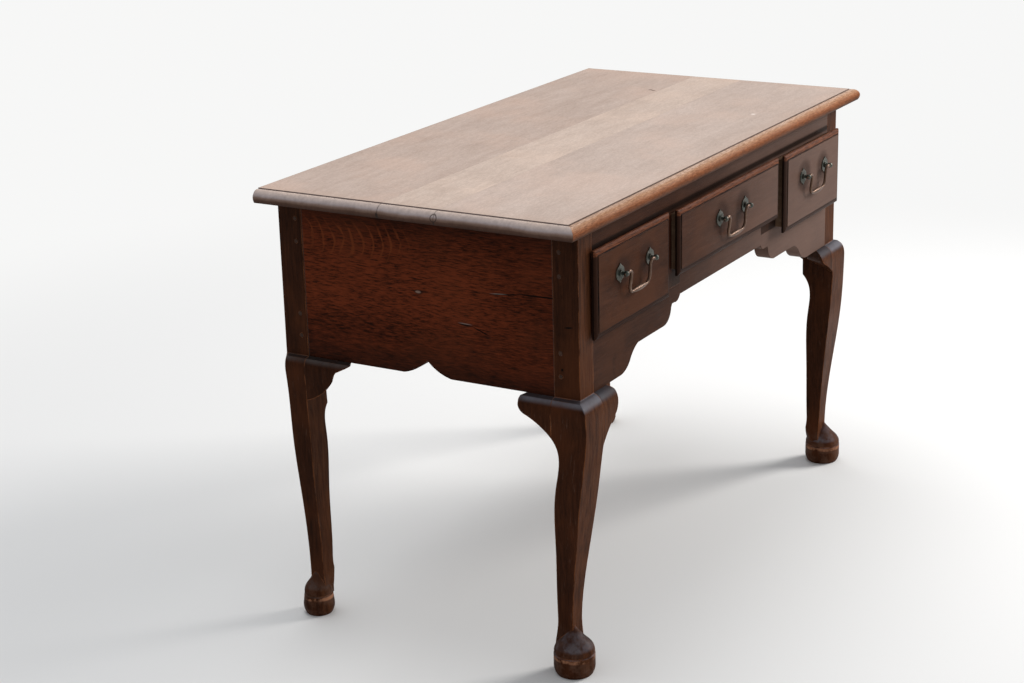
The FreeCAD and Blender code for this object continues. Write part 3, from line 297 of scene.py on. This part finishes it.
def oak(name, grain, dark, light, seed=0, **more):
    """Old oak with its grain along an axis of the table's frame.

    dark and light are the colours of the wood in and between its streaks.
    """
    graph = Graph(name)
    spread = random.Random(name + str(seed))
    shift = tuple(spread.uniform(-3, 3) for _ in range(3))
    ratio = more.get("ratio", 14)
    place = graph.vector("ADD", graph.place, shift)
    wave = graph.noise(place, 5.0, 2.0)
    drift = graph.vector("SCALE", graph.merge(wave, wave, wave), 0.012)
    bent = graph.vector("ADD", place, drift)
    broad = graph.noise(stretched(graph, bent, grain, ratio * 0.7), 4.0, 4.0, 0.55)
    along = stretched(graph, bent, grain, ratio)
    medium = graph.noise(along, 15.0, 4.0, 0.62)
    fine = graph.noise(along, more.get("fineness", 48.0), 3.0, 0.7)
    longer = stretched(graph, bent, grain, ratio * 1.7)
    pores = graph.noise(longer, more.get("pore_scale", 90.0), 1.0)
    patch = graph.noise(place, 7.0, 3.0, 0.6)
    broad_share, medium_share, fine_share = more.get("weights", (0.35, 0.35, 0.30))
    tone = graph.math("MULTIPLY", broad, broad_share)
    tone = graph.math("MULTIPLY_ADD", medium, medium_share, tone)
    tone = graph.math("MULTIPLY_ADD", fine, fine_share, tone)
    contrast = more.get("contrast", 0.15)
    graph.colour = graph.mix(graph.span(tone, 0.5 - contrast, 0.5 + contrast), dark, light)
    pore_mask = graph.span(pores, 0.38, 0.28, 0.0, more.get("pores", 0.5))
    graph.paint(pore_mask, more.get("pore_colour", darker(dark, 0.45)))
    if "blush" in more:
        mask = graph.span(patch, 0.45, 0.68, 0.0, more.get("blush_share", 0.6), smooth=True)
        graph.paint(mask, more["blush"])
    stains = graph.noise(graph.vector("ADD", place, (4, 2, 7)), 11.0, 5.0, 0.65)
    mask = graph.span(stains, 0.58, 0.74, 0.0, more.get("stain", 0.35), smooth=True)
    graph.paint(mask, more.get("stain_colour", darker(dark, 0.5)))
    graph.fine, graph.pores, graph.patch, graph.medium = fine, pore_mask, patch, medium
    return graph


def darker(colour, share):
    return tuple(part * share for part in colour)


def finish_wood(graph, rough=(0.38, 0.55), sheen=0.1, edge_radius=0.0012, edge_colour=None,
                edge_share=0.5, relief=0.25, sky_sheen=None, sky_sheen_share=0.0):
    """Worn arrises, a painted bluish sky sheen on what looks up, relief of the pores and waxed
    gloss.
    """
    rounded = graph.rounded(edge_radius)
    if sky_sheen is not None:
        add_bloom(graph, rounded, sky_sheen, sky_sheen_share)
    if edge_colour is not None:
        wear = graph.noise(graph.place, 38.0, 3.0, 0.6)
        wear = graph.math("MULTIPLY", graph.edge(rounded), graph.span(wear, 0.38, 0.62))
        share = graph.math("MULTIPLY", wear, edge_share)
        graph.paint(share, edge_colour)
    height = graph.math("SUBTRACT", graph.math("MULTIPLY", graph.fine, 0.5), graph.pores)
    height = graph.math("MULTIPLY_ADD", graph.patch, 1.2, height)
    normal = graph.bump(height, relief, 0.0006, rounded)
    shader = graph.shader
    graph.join(graph.colour, shader.inputs["Base Color"])
    graph.join(normal, shader.inputs["Normal"])
    graph.join(graph.span(graph.patch, 0.35, 0.65, *rough), shader.inputs["Roughness"])
    shader.inputs["Specular IOR Level"].default_value = sheen
    return graph.material


# colour and largest share of the painted window sheen on the front, and from where to where along
# the front it grows
FRONT_SHEEN_COLOUR = (0.172, 0.110, 0.088)
FRONT_SHEEN_SHARE = 0.90
FRONT_SHEEN_SPAN = (-0.27, 0.36)


def add_fading(graph):
    """Painted window sheen on the front's polish: paler and pinker towards the right end."""
    x = graph.split(graph.place)[0]
    share = graph.span(x, *FRONT_SHEEN_SPAN, smooth=True)
    uneven = graph.span(graph.patch, 0.3, 0.7, 0.75, 1.0)
    share = graph.math("MULTIPLY", graph.math("MULTIPLY", share, uneven), FRONT_SHEEN_SHARE)
    paler = graph.mix(graph.medium, darker(FRONT_SHEEN_COLOUR, 0.75), FRONT_SHEEN_COLOUR)
    graph.paint(share, paler)


def dress(node, material):
    data = nodes[node].data
    data.materials.clear()
    data.materials.append(material)


# ---------------------------------------------------------------- top

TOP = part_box("top_front_board")
# width of the edge moulding, and the two glued joints between the top's boards
MOULD = 0.0155
JOINTS = [corner.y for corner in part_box("top_middle_board")]

# colours of the edge moulding from its lower arris up to the step, with painted shade deepening
# downwards; the end's carries a painted bluish sheen on its nose
FRONT_MOULD_SHADE = (
    (0.00, (0.055, 0.028, 0.018)),
    (0.24, (0.125, 0.046, 0.021)),
    (0.45, (0.190, 0.062, 0.023)),
    (0.66, (0.270, 0.105, 0.045)),
    (0.84, (0.370, 0.200, 0.115)),
    (1.00, (0.520, 0.380, 0.300)),
)
END_MOULD_SHADE_AND_SHEEN = (
    (0.00, (0.045, 0.023, 0.017)),
    (0.28, (0.088, 0.048, 0.034)),
    (0.46, (0.215, 0.142, 0.112)),
    (0.62, (0.400, 0.335, 0.325)),
    (0.82, (0.500, 0.410, 0.370)),
    (1.00, (0.580, 0.455, 0.385)),
)
# where along the top its shade grows from left to right
TOP_SHADE = (-0.45, 0.35)
# levels over the top's underside: where the gaps in the back and front joints close upwards
BACK_GAP = (0.010, 0.007)
FRONT_GAP = (0.007, 0.005)
# level over the underside and radius of the curl at the front joint
CURL_LEVEL = 0.011
CURL_RADIUS = 0.0052
# place and colour of the small dark and pale marks on the top
TOP_MARKS = (
    ((0.381, 0.067, TOP[1].z), (0.12, 0.075, 0.055)),
    ((0.385, 0.075, TOP[1].z), (0.12, 0.075, 0.055)),
    ((0.258, -0.185, TOP[1].z), (0.80, 0.72, 0.66)),
)


def top_material(name, seed, dark, light, blush):
    """Faded top: soft mottling, short flecks, and a moulding with painted shade that darkens
    downwards.
    """
    graph = oak(name, "x", dark, light, seed, ratio=6, weights=(0.26, 0.32, 0.42), fineness=95.0,
                contrast=0.16, pores=0.32, pore_scale=125.0, pore_colour=(0.30, 0.215, 0.170),
                blush=blush, blush_share=0.5, stain=0.22, stain_colour=(0.37, 0.265, 0.205))
    x, y, z = graph.split(graph.place)
    grit = graph.noise(stretched(graph, graph.place, "x", 3), 170.0, 2.0, 0.7)
    grit = graph.span(grit, 0.3, 0.7, 0.90, 1.09)
    shade = graph.math("MULTIPLY", grit, graph.span(x, *TOP_SHADE, 1.0, 0.88))
    graph.colour = graph.shade(graph.colour, shade)
    for place, colour in TOP_MARKS:
        away = graph.length(graph.vector("SUBTRACT", graph.place, place))
        graph.paint(graph.span(away, 0.0050, 0.0025, 0.0, 0.8), colour)
    inside_end = graph.math("SUBTRACT", graph.math("ABSOLUTE", x), TOP[1].x - MOULD)
    inside_front = graph.math("SUBTRACT", TOP[0].y + MOULD, y)
    out = graph.math("MAXIMUM", inside_end, inside_front)
    ragged = graph.math("SUBTRACT", graph.fine, 0.5)
    out = graph.math("MULTIPLY_ADD", ragged, 0.0010, out)
    rim = graph.span(out, -0.030, 0.0, 0.0, 0.22)
    graph.paint(rim, (0.45, 0.31, 0.23))
    is_end = graph.math("GREATER_THAN", inside_end, inside_front)
    level = graph.span(z, TOP[0].z, TOP[1].z)
    uneven = graph.math("ADD", graph.fine, graph.medium)
    worn = graph.math("MULTIPLY_ADD", uneven, 0.20, graph.math("SUBTRACT", level, 0.20))
    # the moulding's colours by height: painted shade downwards, and on the end a painted sheen on
    # the nose
    front = graph.ramp(worn, *FRONT_MOULD_SHADE)
    grain = graph.span(graph.fine, 0.35, 0.65, 0.72, 1.20)
    front = graph.shade(front, grain)
    sway = graph.noise(graph.place, 16.0, 2.0)
    worn = graph.math("MULTIPLY_ADD", sway, 0.30, graph.math("SUBTRACT", level, 0.15))
    end = graph.ramp(worn, *END_MOULD_SHADE_AND_SHEEN)
    grain = graph.span(graph.noise(graph.place, 160.0, 3.0, 0.6), 0.3, 0.7, 0.86, 1.10)
    end = graph.shade(end, grain)
    mould = graph.mix(is_end, front, end)
    graph.paint(graph.span(out, 0.0001, 0.0008), mould)
    # dark line along the moulding's step: dirt and painted shade
    line = graph.math("MULTIPLY", graph.band(out, 0.0004, 0.0005, 0.0008), 0.85)
    dirt_and_shade = graph.mix(is_end, (0.085, 0.045, 0.031), (0.185, 0.140, 0.130))
    graph.paint(line, dirt_and_shade)
    marks = graph.math("MULTIPLY", joint_marks(graph, y, z), graph.span(out, 0.0, 0.0010))
    graph.paint(marks, (0.035, 0.024, 0.020))
    # painted shade on the top's underside
    underside_shade = graph.span(z, TOP[0].z + 0.0005, TOP[0].z)
    graph.paint(underside_shade, (0.060, 0.034, 0.023))
    finish_wood(graph, rough=(0.42, 0.58), edge_radius=0.0012, relief=0.22)
    graph.join(graph.span(out, 0.0, 0.0012, 0.10, 0.03), graph.shader.inputs["Specular IOR Level"])
    return graph.material


def joint_marks(graph, y, z):
    """Hairline joints across the end moulding, an open one behind, a small curl in front."""
    front, back = JOINTS
    marks = graph.math("MULTIPLY", graph.band(y, front, 0.0003, 0.0006), 0.6)
    hairline = graph.math("MULTIPLY", graph.band(y, back, 0.0003, 0.0006), 0.6)
    marks = graph.math("MAXIMUM", marks, hairline)
    low = graph.span(z, TOP[0].z + BACK_GAP[0], TOP[0].z + BACK_GAP[1])
    gap = graph.math("MULTIPLY", graph.band(y, back + 0.001, 0.0016, 0.0010), low)
    marks = graph.math("MAXIMUM", marks, gap)
    lower = graph.span(z, TOP[0].z + FRONT_GAP[0], TOP[0].z + FRONT_GAP[1])
    gap = graph.math("MULTIPLY", graph.band(y, front, 0.0009, 0.0008), lower)
    marks = graph.math("MAXIMUM", marks, gap)
    across = graph.merge(0.0, graph.math("SUBTRACT", y, front),
                         graph.math("SUBTRACT", z, TOP[0].z + CURL_LEVEL))
    curl = graph.band(graph.length(across), CURL_RADIUS, 0.0005, 0.0008)
    return graph.math("MAXIMUM", marks, graph.math("MULTIPLY", curl, 0.7))


def dress_top():
    dress("top_front_board", top_material("oak_top_front", 1, (0.425, 0.325, 0.270),
                                          (0.590, 0.475, 0.410), (0.585, 0.440, 0.365)))
    dress("top_middle_board", top_material("oak_top_middle", 2, (0.455, 0.345, 0.280),
                                           (0.635, 0.510, 0.430), (0.640, 0.490, 0.400)))
    dress("top_back_board", top_material("oak_top_back", 3, (0.390, 0.285, 0.230),
                                         (0.560, 0.445, 0.380), (0.545, 0.395, 0.320)))


# ---------------------------------------------------------------- case

# start and end of each crack in the left end panel, as (y, z), with its half width and wobble
CRACKS = (
    ((-0.2120, 0.5861), (-0.1420, 0.5849), 0.0006, 0.0016),
    ((-0.1500, 0.5846), (-0.0960, 0.5788), 0.0005, 0.0020),
    ((-0.0990, 0.5125), (-0.0620, 0.5258), 0.0006, 0.0014),
    ((-0.0680, 0.5250), (-0.0380, 0.5262), 0.0005, 0.0008),
)
# pale lines along two cracks; the lower one is a painted highlight on the crack's edge
PALE_CRACKS = (
    ((-0.1270, 0.5822), (-0.0950, 0.5802), 0.0003, 0.0010),
    ((-0.0660, 0.5272), (-0.0390, 0.5280), 0.0004, 0.0008),
)
# middle of the knot as (y, z), and how many times longer than high it is
KNOT = (0.0285, 0.5668)
KNOT_FLATNESS = 2.4
# shift along the panel, radius and colour of the knot's dark ring and its pale middle
KNOT_RINGS = ((-0.0010, 0.0105, (0.012, 0.006, 0.004)), (0.0, 0.0062, (0.230, 0.150, 0.115)))
# the panel's joints with the posts, and the level, curve and spacing of its ray flecks
SEAMS = (-0.2030, 0.2365)
ARC_MIDDLE = 0.630
ARC_BEND = 15.0
ARC_PITCH = 0.0175
# each pair runs from where something is missing to where it is full: the flecks' belt
BELT_LOW = (0.602, 0.622)
BELT_HIGH = (0.672, 0.648)
BELT_FRONT = (0.02, 0.07)
# the red glow in the panel's middle, the darkening at its lower edge, and the painted shadow of
# the top at its upper edge
GLOW_LOW = (0.475, 0.545)
GLOW_HIGH = (0.670, 0.600)
GLOW_FRONT = (-0.19, -0.06)
PANEL_LOW_DARKENING = (0.480, 0.440)
PANEL_TOP_SHADOW = (0.650, 0.685)


def panel_material(name, seed):
    """Quarter-sawn end board: near-black red-brown, thin red streaks and curved ray flecks."""
    graph = oak(name, "y", (0.0125, 0.0037, 0.0020), (0.102, 0.0205, 0.0074), seed, contrast=0.11,
                ratio=9, weights=(0.20, 0.26, 0.54), fineness=60.0, pores=0.45,
                blush=(0.096, 0.026, 0.011), blush_share=0.3, stain=0.6,
                stain_colour=(0.012, 0.0058, 0.0040))
    y, z = graph.split(graph.place)[1:]
    glow = graph.math("MULTIPLY", graph.span(z, *GLOW_HIGH), graph.span(y, *GLOW_FRONT))
    glow = graph.math("MULTIPLY", glow, graph.span(z, *GLOW_LOW))
    glow = graph.math("MULTIPLY", glow, graph.span(graph.fine, 0.36, 0.60, 0.0, 0.65))
    graph.paint(glow, (0.165, 0.033, 0.0115))
    fleck = graph.math("MULTIPLY", ray_flecks(graph, y, z, seed), 0.75)
    graph.paint(fleck, (0.150, 0.036, 0.0115))
    # darker at the panel's lower edge, and painted shadow of the top at its upper edge
    dirt_and_shade = graph.math("MAXIMUM", graph.span(z, *PANEL_LOW_DARKENING), graph.span(z, *PANEL_TOP_SHADOW))
    graph.paint(graph.math("MULTIPLY", dirt_and_shade, 0.6), (0.012, 0.0055, 0.0038))
    for edge in SEAMS:
        seam = graph.math("MULTIPLY", graph.band(y, edge, 0.0008, 0.0012), 0.5)
        graph.paint(seam, (0.100, 0.072, 0.060))
    for start, end, width, wobble in CRACKS:
        mask = crack(graph, y, z, start, end, width, wobble)
        graph.paint(mask, (0.003, 0.0018, 0.0014))
    for start, end, width, wobble in PALE_CRACKS:
        mask = graph.math("MULTIPLY", crack(graph, y, z, start, end, width, wobble), 0.8)
        graph.paint(mask, (0.150, 0.125, 0.110))
    for shift, size, colour in KNOT_RINGS:
        along = graph.math("SUBTRACT", y, KNOT[0] + shift)
        rise = graph.math("MULTIPLY", graph.math("SUBTRACT", z, KNOT[1]), KNOT_FLATNESS)
        away = graph.merge(0.0, along, rise)
        knot = graph.span(graph.length(away), size, size * 0.5, 0.0, 0.8)
        graph.paint(knot, colour)
    return finish_wood(graph, rough=(0.40, 0.55), sheen=0.02, edge_radius=0.0015,
                       edge_colour=(0.13, 0.045, 0.022), edge_share=0.6, relief=0.3)


def ray_flecks(graph, y, z, seed):
    """Nested arcs, broken and uneven, in a belt below the top."""
    rise = graph.math("SUBTRACT", z, ARC_MIDDLE)
    bend = graph.math("MULTIPLY", graph.math("MULTIPLY", rise, rise), ARC_BEND)
    sway = graph.noise(graph.vector("ADD", graph.place, (0, seed, 0)), 14.0, 2.0)
    turns = graph.math("MULTIPLY", graph.math("SUBTRACT", y, bend), 2 * math.pi / ARC_PITCH)
    stripe = graph.math("SINE", graph.math("MULTIPLY_ADD", sway, 13.0, turns))
    broken = graph.noise(graph.place, 85.0, 3.0, 0.65)
    stripe = graph.math("MULTIPLY_ADD", broken, 1.4, stripe)
    belt = graph.math("MULTIPLY", graph.span(z, *BELT_LOW), graph.span(z, *BELT_HIGH))
    part = graph.math("MULTIPLY", graph.span(y, *BELT_FRONT), graph.span(sway, 0.34, 0.50))
    return graph.math("MULTIPLY", graph.span(stripe, 1.38, 1.66),
                      graph.math("MULTIPLY", belt, part))


def crack(graph, u, v, start, end, width, wobble):
    """Thin wavy line from start to end in the plane of u and v."""
    share = graph.span(u, start[0], end[0])
    line = graph.math("MULTIPLY_ADD", share, end[1] - start[1], start[1])
    wave = graph.noise(graph.merge(graph.math("MULTIPLY", u, 60.0), 0.0, 0.0), 1.0, 3.0)
    line = graph.math("MULTIPLY_ADD", graph.math("SUBTRACT", wave, 0.5), wobble, line)
    mask = graph.band(graph.math("SUBTRACT", v, line), 0.0, width, 0.0008)
    taper = min(0.012, (end[0] - start[0]) / 3)
    ends = graph.math("MULTIPLY", graph.span(u, start[0], start[0] + taper),
                      graph.span(u, end[0], end[0] - taper))
    return graph.math("MULTIPLY", mask, ends)


# upper edge of the drawers' lips, lower edge of the centre drawer
DRAWER_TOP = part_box("left_drawer_front")[1].z
CENTRE_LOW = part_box("centre_drawer_front")[0].z


def add_lip_dirt(graph, z):
    """Painted shadow on the frame just above the drawers' upper lips."""
    dirt_and_shade = graph.math("MULTIPLY", graph.band(z, DRAWER_TOP + 0.0015, 0.0020, 0.0050), 0.85)
    graph.paint(dirt_and_shade, (0.008, 0.0045, 0.0032))


def frame_material(name, grain, seed):
    graph = oak(name, grain, (0.0225, 0.0086, 0.0045), (0.062, 0.0240, 0.0130), seed, pores=0.55,
                blush=(0.080, 0.034, 0.0195), blush_share=0.4, stain=0.5,
                stain_colour=(0.018, 0.0088, 0.0056))
    # painted window sheen, paler towards the right end
    add_fading(graph)
    z = graph.split(graph.place)[2]
    add_lip_dirt(graph, z)
    return finish_wood(graph, rough=(0.38, 0.54), sheen=0.02, edge_radius=0.0012,
                       edge_colour=(0.22, 0.095, 0.048), edge_share=0.6, relief=0.3)


def muntin_material(name, seed, low, high):
    """Uprights between the drawers, with painted shade towards the drawer at their right and below
    the centre drawer.
    """
    graph = oak(name, "z", (0.022, 0.0075, 0.0042), (0.092, 0.0290, 0.0145), seed, pores=0.5,
                stain=0.4, stain_colour=(0.016, 0.0070, 0.0048))
    x, z = graph.split(graph.place)[::2]
    middle = (low.x + high.x) / 2
    # painted shade beside the drawer at the muntin's right
    dirt_and_shade = graph.span(x, middle, middle + 0.004, 0.0, 0.9)
    graph.paint(dirt_and_shade, (0.010, 0.0052, 0.0040))
    # painted shadow below the centre drawer
    dirt_and_shade = graph.span(z, CENTRE_LOW + 0.004, CENTRE_LOW - 0.001, 0.0, 0.85)
    graph.paint(dirt_and_shade, (0.030, 0.0165, 0.0115))
    add_lip_dirt(graph, z)
    return finish_wood(graph, rough=(0.38, 0.54), sheen=0.02, edge_radius=0.0012,
                       edge_colour=(0.25, 0.095, 0.045), edge_share=0.7, relief=0.3)


# levels of a foot's incised ring and of the worn arris below it
RING_LEVEL = 0.034
RING_ARRIS = RING_LEVEL - 0.0045
# each pair runs from where something is missing to where it is full: scuffs, fine scratches
SCUFF_TOP = (0.075, 0.030)
SCRATCH_TOP = (0.44, 0.40)
# colours of the painted sky sheen on the front and the back legs
FRONT_SKY_SHEEN = (0.150, 0.150, 0.172)
BACK_SKY_SHEEN = (0.085, 0.072, 0.068)
# a crack and a short dark mark on the front posts' end faces, written as the panel's cracks are
POST_CRACKS = (
    ((-0.236, 0.5462), (-0.220, 0.5442), 0.0008, 0.0010),
    ((-0.2185, 0.4796), (-0.2140, 0.4796), 0.0016, 0.0010),
)


def leg_material(name, seed, sky_sheen, marks=()):
    """Leg and post: near-black old polish, browner in front, arrises worn orange."""
    graph = oak(name, "z", (0.0115, 0.0043, 0.0024), (0.056, 0.0185, 0.0080), seed, pores=0.6,
                blush=(0.080, 0.024, 0.0088), blush_share=0.45, stain=0.5,
                stain_colour=(0.0115, 0.0062, 0.0045))
    y, z = graph.split(graph.place)[1:]
    forward = graph.span(graph.split(graph.facing())[1], -0.55, -0.85)
    brown = graph.math("MULTIPLY", forward, graph.span(graph.medium, 0.36, 0.62, 0.15, 0.8))
    graph.paint(brown, (0.092, 0.0330, 0.0138))
    scratch = graph.noise(stretched(graph, graph.place, "z", 9), 34.0, 3.0, 0.6)
    scratch = graph.math("MULTIPLY", graph.span(scratch, 0.62, 0.72, 0.0, 0.30),
                         graph.span(z, *SCRATCH_TOP))
    graph.paint(scratch, (0.120, 0.072, 0.054))
    for start, end, width, wobble in marks:
        mask = crack(graph, y, z, start, end, width, wobble)
        graph.paint(mask, (0.0030, 0.0020, 0.0016))
    foot = graph.span(z, *SCUFF_TOP)
    scuff = graph.noise(graph.place, 45.0, 4.0, 0.65)
    scuff = graph.math("MULTIPLY", graph.span(scuff, 0.42, 0.62), foot)
    graph.paint(graph.math("MULTIPLY", scuff, 0.6), (0.115, 0.062, 0.042))
    worn = graph.math("MULTIPLY", graph.band(z, RING_ARRIS, 0.0016, 0.0025), scuff)
    graph.paint(worn, (0.34, 0.155, 0.085))
    # painted shade in the foot's incised ring
    groove_shade = graph.math("MULTIPLY", graph.band(z, RING_LEVEL, 0.0008, 0.0008), 0.85)
    graph.paint(groove_shade, (0.022, 0.0085, 0.0055))
    # with a painted sky sheen on what looks up
    return finish_wood(graph, rough=(0.34, 0.50), sheen=0.022, edge_radius=0.0028,
                       edge_colour=(0.29, 0.105, 0.042), edge_share=1.0, relief=0.35,
                       sky_sheen=sky_sheen, sky_sheen_share=0.85)


# half a backplate's width, and how far from its middle the dirt round it ends and is full
ROSE_HALF = 0.020
HALO = (0.034, 0.018)
# step and thickness of the drawer front's lip
LIP_STEP = 0.0084
LIP_DEPTH = 0.0090


def front_material(name, seed, front, plates):
    """Lipped drawer front: dark lips, the upper one worn and lit by a painted highlight, painted
    shade on faces turned left and in the lip's step, dirt round the roses.
    """
    low, high = front
    graph = oak(name, "x", (0.0235, 0.0086, 0.0042), (0.070, 0.0262, 0.0132), seed, pores=0.6,
                blush=(0.086, 0.032, 0.0155), blush_share=0.5, stain=0.5, contrast=0.15,
                stain_colour=(0.018, 0.0088, 0.0058))
    # painted window sheen, paler towards the right end
    add_fading(graph)
    x, y, z = graph.split(graph.place)
    across = graph.math("MINIMUM", graph.math("SUBTRACT", x, low.x),
                        graph.math("SUBTRACT", high.x, x))
    upright = graph.math("MINIMUM", graph.math("SUBTRACT", z, low.z),
                         graph.math("SUBTRACT", high.z, z))
    inset = graph.math("MINIMUM", across, upright)
    inset = graph.math("MULTIPLY_ADD", graph.math("SUBTRACT", graph.patch, 0.5), 0.0010, inset)
    for end in (plates[0].x + ROSE_HALF, plates[1].x - ROSE_HALF):
        away = graph.merge(graph.math("SUBTRACT", x, end), 0.0,
                           graph.math("SUBTRACT", z, (plates[0].z + plates[1].z) / 2))
        away = graph.math("MULTIPLY_ADD", graph.math("SUBTRACT", graph.patch, 0.5), 0.012,
                          graph.length(away))
        halo = graph.span(away, *HALO, 0.0, 0.55, smooth=True)
        graph.paint(halo, (0.022, 0.0105, 0.0075))
    # the upper lip worn and lit by a painted reddish highlight
    upper = graph.span(z, high.z - LIP_STEP - 0.0010, high.z - LIP_STEP)
    lip = graph.span(inset, LIP_STEP - 0.0006, LIP_STEP - 0.0014)
    reddish = graph.mix(graph.span(graph.fine, 0.36, 0.62), (0.045, 0.0150, 0.0080),
                        (0.200, 0.066, 0.030))
    worn = graph.mix(upper, (0.020, 0.0092, 0.0062), reddish)
    graph.paint(graph.math("MULTIPLY", lip, 0.8), worn)
    # painted shade on the faces turned to the left
    left_facing_shade = graph.span(graph.split(graph.facing())[0], -0.6, -0.9, 0.0, 0.85)
    graph.paint(left_facing_shade, (0.010, 0.0055, 0.0042))
    # painted shade in the lip's step
    groove_shade = graph.math("MULTIPLY", graph.band(inset, LIP_STEP, 0.0007, 0.0008), 0.85)
    graph.paint(groove_shade, (0.010, 0.0085, 0.0085))
    back = graph.span(y, low.y + LIP_DEPTH, low.y + LIP_DEPTH + 0.0015)
    graph.paint(back, (0.150, 0.090, 0.055))
    return finish_wood(graph, rough=(0.38, 0.54), sheen=0.02, edge_radius=0.0010,
                       edge_colour=(0.26, 0.105, 0.050), edge_share=0.6, relief=0.28)


def inner_material(name, grain, seed):
    graph = oak(name, grain, (0.105, 0.060, 0.036), (0.215, 0.140, 0.086), seed, contrast=0.18,
                pores=0.55, blush=(0.20, 0.120, 0.070), blush_share=0.4, stain=0.4,
                stain_colour=(0.070, 0.045, 0.031))
    return finish_wood(graph, rough=(0.60, 0.78), edge_radius=0.0008, relief=0.4)


def peg_material():
    graph = oak("oak_pegs", "x", (0.020, 0.0095, 0.0062), (0.068, 0.034, 0.0215), 5, contrast=0.18,
                stain=0.4)
    return finish_wood(graph, rough=(0.42, 0.58), edge_radius=0.0006, relief=0.3)


def dress_case():
    for side, seed in (("left", 1), ("right", 2)):
        dress(f"{side}_end_panel", panel_material(f"oak_panel_{side}", seed))
        muntin = f"{side}_muntin"
        dress(muntin, muntin_material(f"oak_muntin_{side}", seed, *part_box(muntin)))
        dress(f"{side}_apron_rail", frame_material(f"oak_apron_{side}", "x", seed))
        # legs and ears get a painted sky sheen, the face brackets a dimmer one
        for end, sky_sheen in (("front", FRONT_SKY_SHEEN), ("back", BACK_SKY_SHEEN)):
            marks = POST_CRACKS if end == "front" else ()
            dress(f"{end}_{side}_leg", leg_material(f"oak_leg_{end}_{side}", seed, sky_sheen, marks))
            dress(f"{end}_{side}_end_bracket",
                  leg_material(f"oak_end_ear_{end}_{side}", seed + 3, sky_sheen))
        dress(f"front_{side}_face_bracket",
              leg_material(f"oak_face_ear_{side}", seed + 6, darker(FRONT_SKY_SHEEN, 0.45)))
    dress("front_top_rail", frame_material("oak_top_rail", "x", 4))
    dress("centre_apron_rail", frame_material("oak_apron_centre", "x", 5))
    dress("frame_pegs", peg_material())
    inner = inner_material("oak_inner_boards", "x", 1)
    runners = inner_material("oak_inner_runners", "y", 2)
    dress("back_panel", inner)
    dress("top_glue_blocks", runners)
    for name in nodes:
        if name.endswith(("_runner", "_kicker")):
            dress(name, runners)


def dress_drawers():
    sides = inner_material("oak_drawer_sides", "y", 3)
    boards = inner_material("oak_drawer_boards", "x", 4)
    for seed, name in enumerate(("left", "centre", "right"), start=1):
        front = f"{name}_drawer_front"
        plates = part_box(f"{name}_handle_plates")
        dress(front, front_material(f"oak_front_{name}", seed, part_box(front), plates))
        for side in ("left", "right"):
            dress(f"{name}_drawer_{side}_side", sides)
        dress(f"{name}_drawer_back", boards)
        dress(f"{name}_drawer_bottom", boards)


# ---------------------------------------------------------------- metal

def brass_material(name, dark, light, patina, patina_share):
    """Handle brass gone dull: brown or green patina, dark specks, rubbed high spots."""
    graph = Graph(name)
    cloud = graph.noise(graph.place, 60.0, 4.0, 0.6)
    speck = graph.noise(graph.place, 420.0, 3.0, 0.6)
    green = graph.noise(graph.vector("ADD", graph.place, (3, 1, 2)), 95.0, 3.0, 0.6)
    graph.colour = graph.mix(graph.span(cloud, 0.35, 0.65), dark, light)
    graph.paint(graph.span(green, 0.44, 0.62, 0.0, patina_share), patina)
    graph.paint(graph.span(speck, 0.58, 0.70, 0.0, 0.6), darker(dark, 0.4))
    rounded = graph.rounded(0.0007)
    rubbed = graph.math("MULTIPLY", graph.edge(rounded), graph.span(cloud, 0.35, 0.6))
    graph.paint(graph.math("MULTIPLY", rubbed, 0.6), (0.30, 0.225, 0.165))
    shader = graph.shader
    graph.join(graph.colour, shader.inputs["Base Color"])
    graph.join(graph.span(speck, 0.35, 0.65, 0.34, 0.55), shader.inputs["Roughness"])
    shader.inputs["Metallic"].default_value = 0.75
    graph.join(graph.bump(speck, 0.35, 0.0004, rounded), shader.inputs["Normal"])
    return graph.material


def iron_material():
    graph = Graph("nut_iron")
    cloud = graph.noise(graph.place, 180.0, 4.0, 0.65)
    colour = graph.ramp(cloud, (0.3, (0.035, 0.030, 0.028)), (0.55, (0.095, 0.075, 0.062)),
                        (0.75, (0.19, 0.085, 0.045)))
    shader = graph.shader
    graph.join(colour, shader.inputs["Base Color"])
    graph.join(graph.span(cloud, 0.3, 0.7, 0.45, 0.75), shader.inputs["Roughness"])
    shader.inputs["Metallic"].default_value = 0.6
    graph.join(graph.bump(cloud, 0.5, 0.0004, graph.rounded(0.0005)), shader.inputs["Normal"])
    return graph.material


def dress_handles():
    swinging = brass_material("brass_bails", (0.070, 0.036, 0.022), (0.160, 0.095, 0.062),
                              (0.115, 0.060, 0.038), 0.5)
    fixed = brass_material("brass_plates", (0.036, 0.035, 0.027), (0.088, 0.084, 0.067),
                           (0.064, 0.082, 0.070), 0.7)
    iron = iron_material()
    for name in ("left", "centre", "right"):
        dress(f"{name}_bail", swinging)
        dress(f"{name}_handle_plates", fixed)
        dress(f"{name}_handle_posts", fixed)
        dress(f"{name}_handle_nuts", iron)


# ---------------------------------------------------------------- build

make_camera()
make_stage()
make_light()
dress_top()
dress_case()
dress_drawers()
dress_handles()
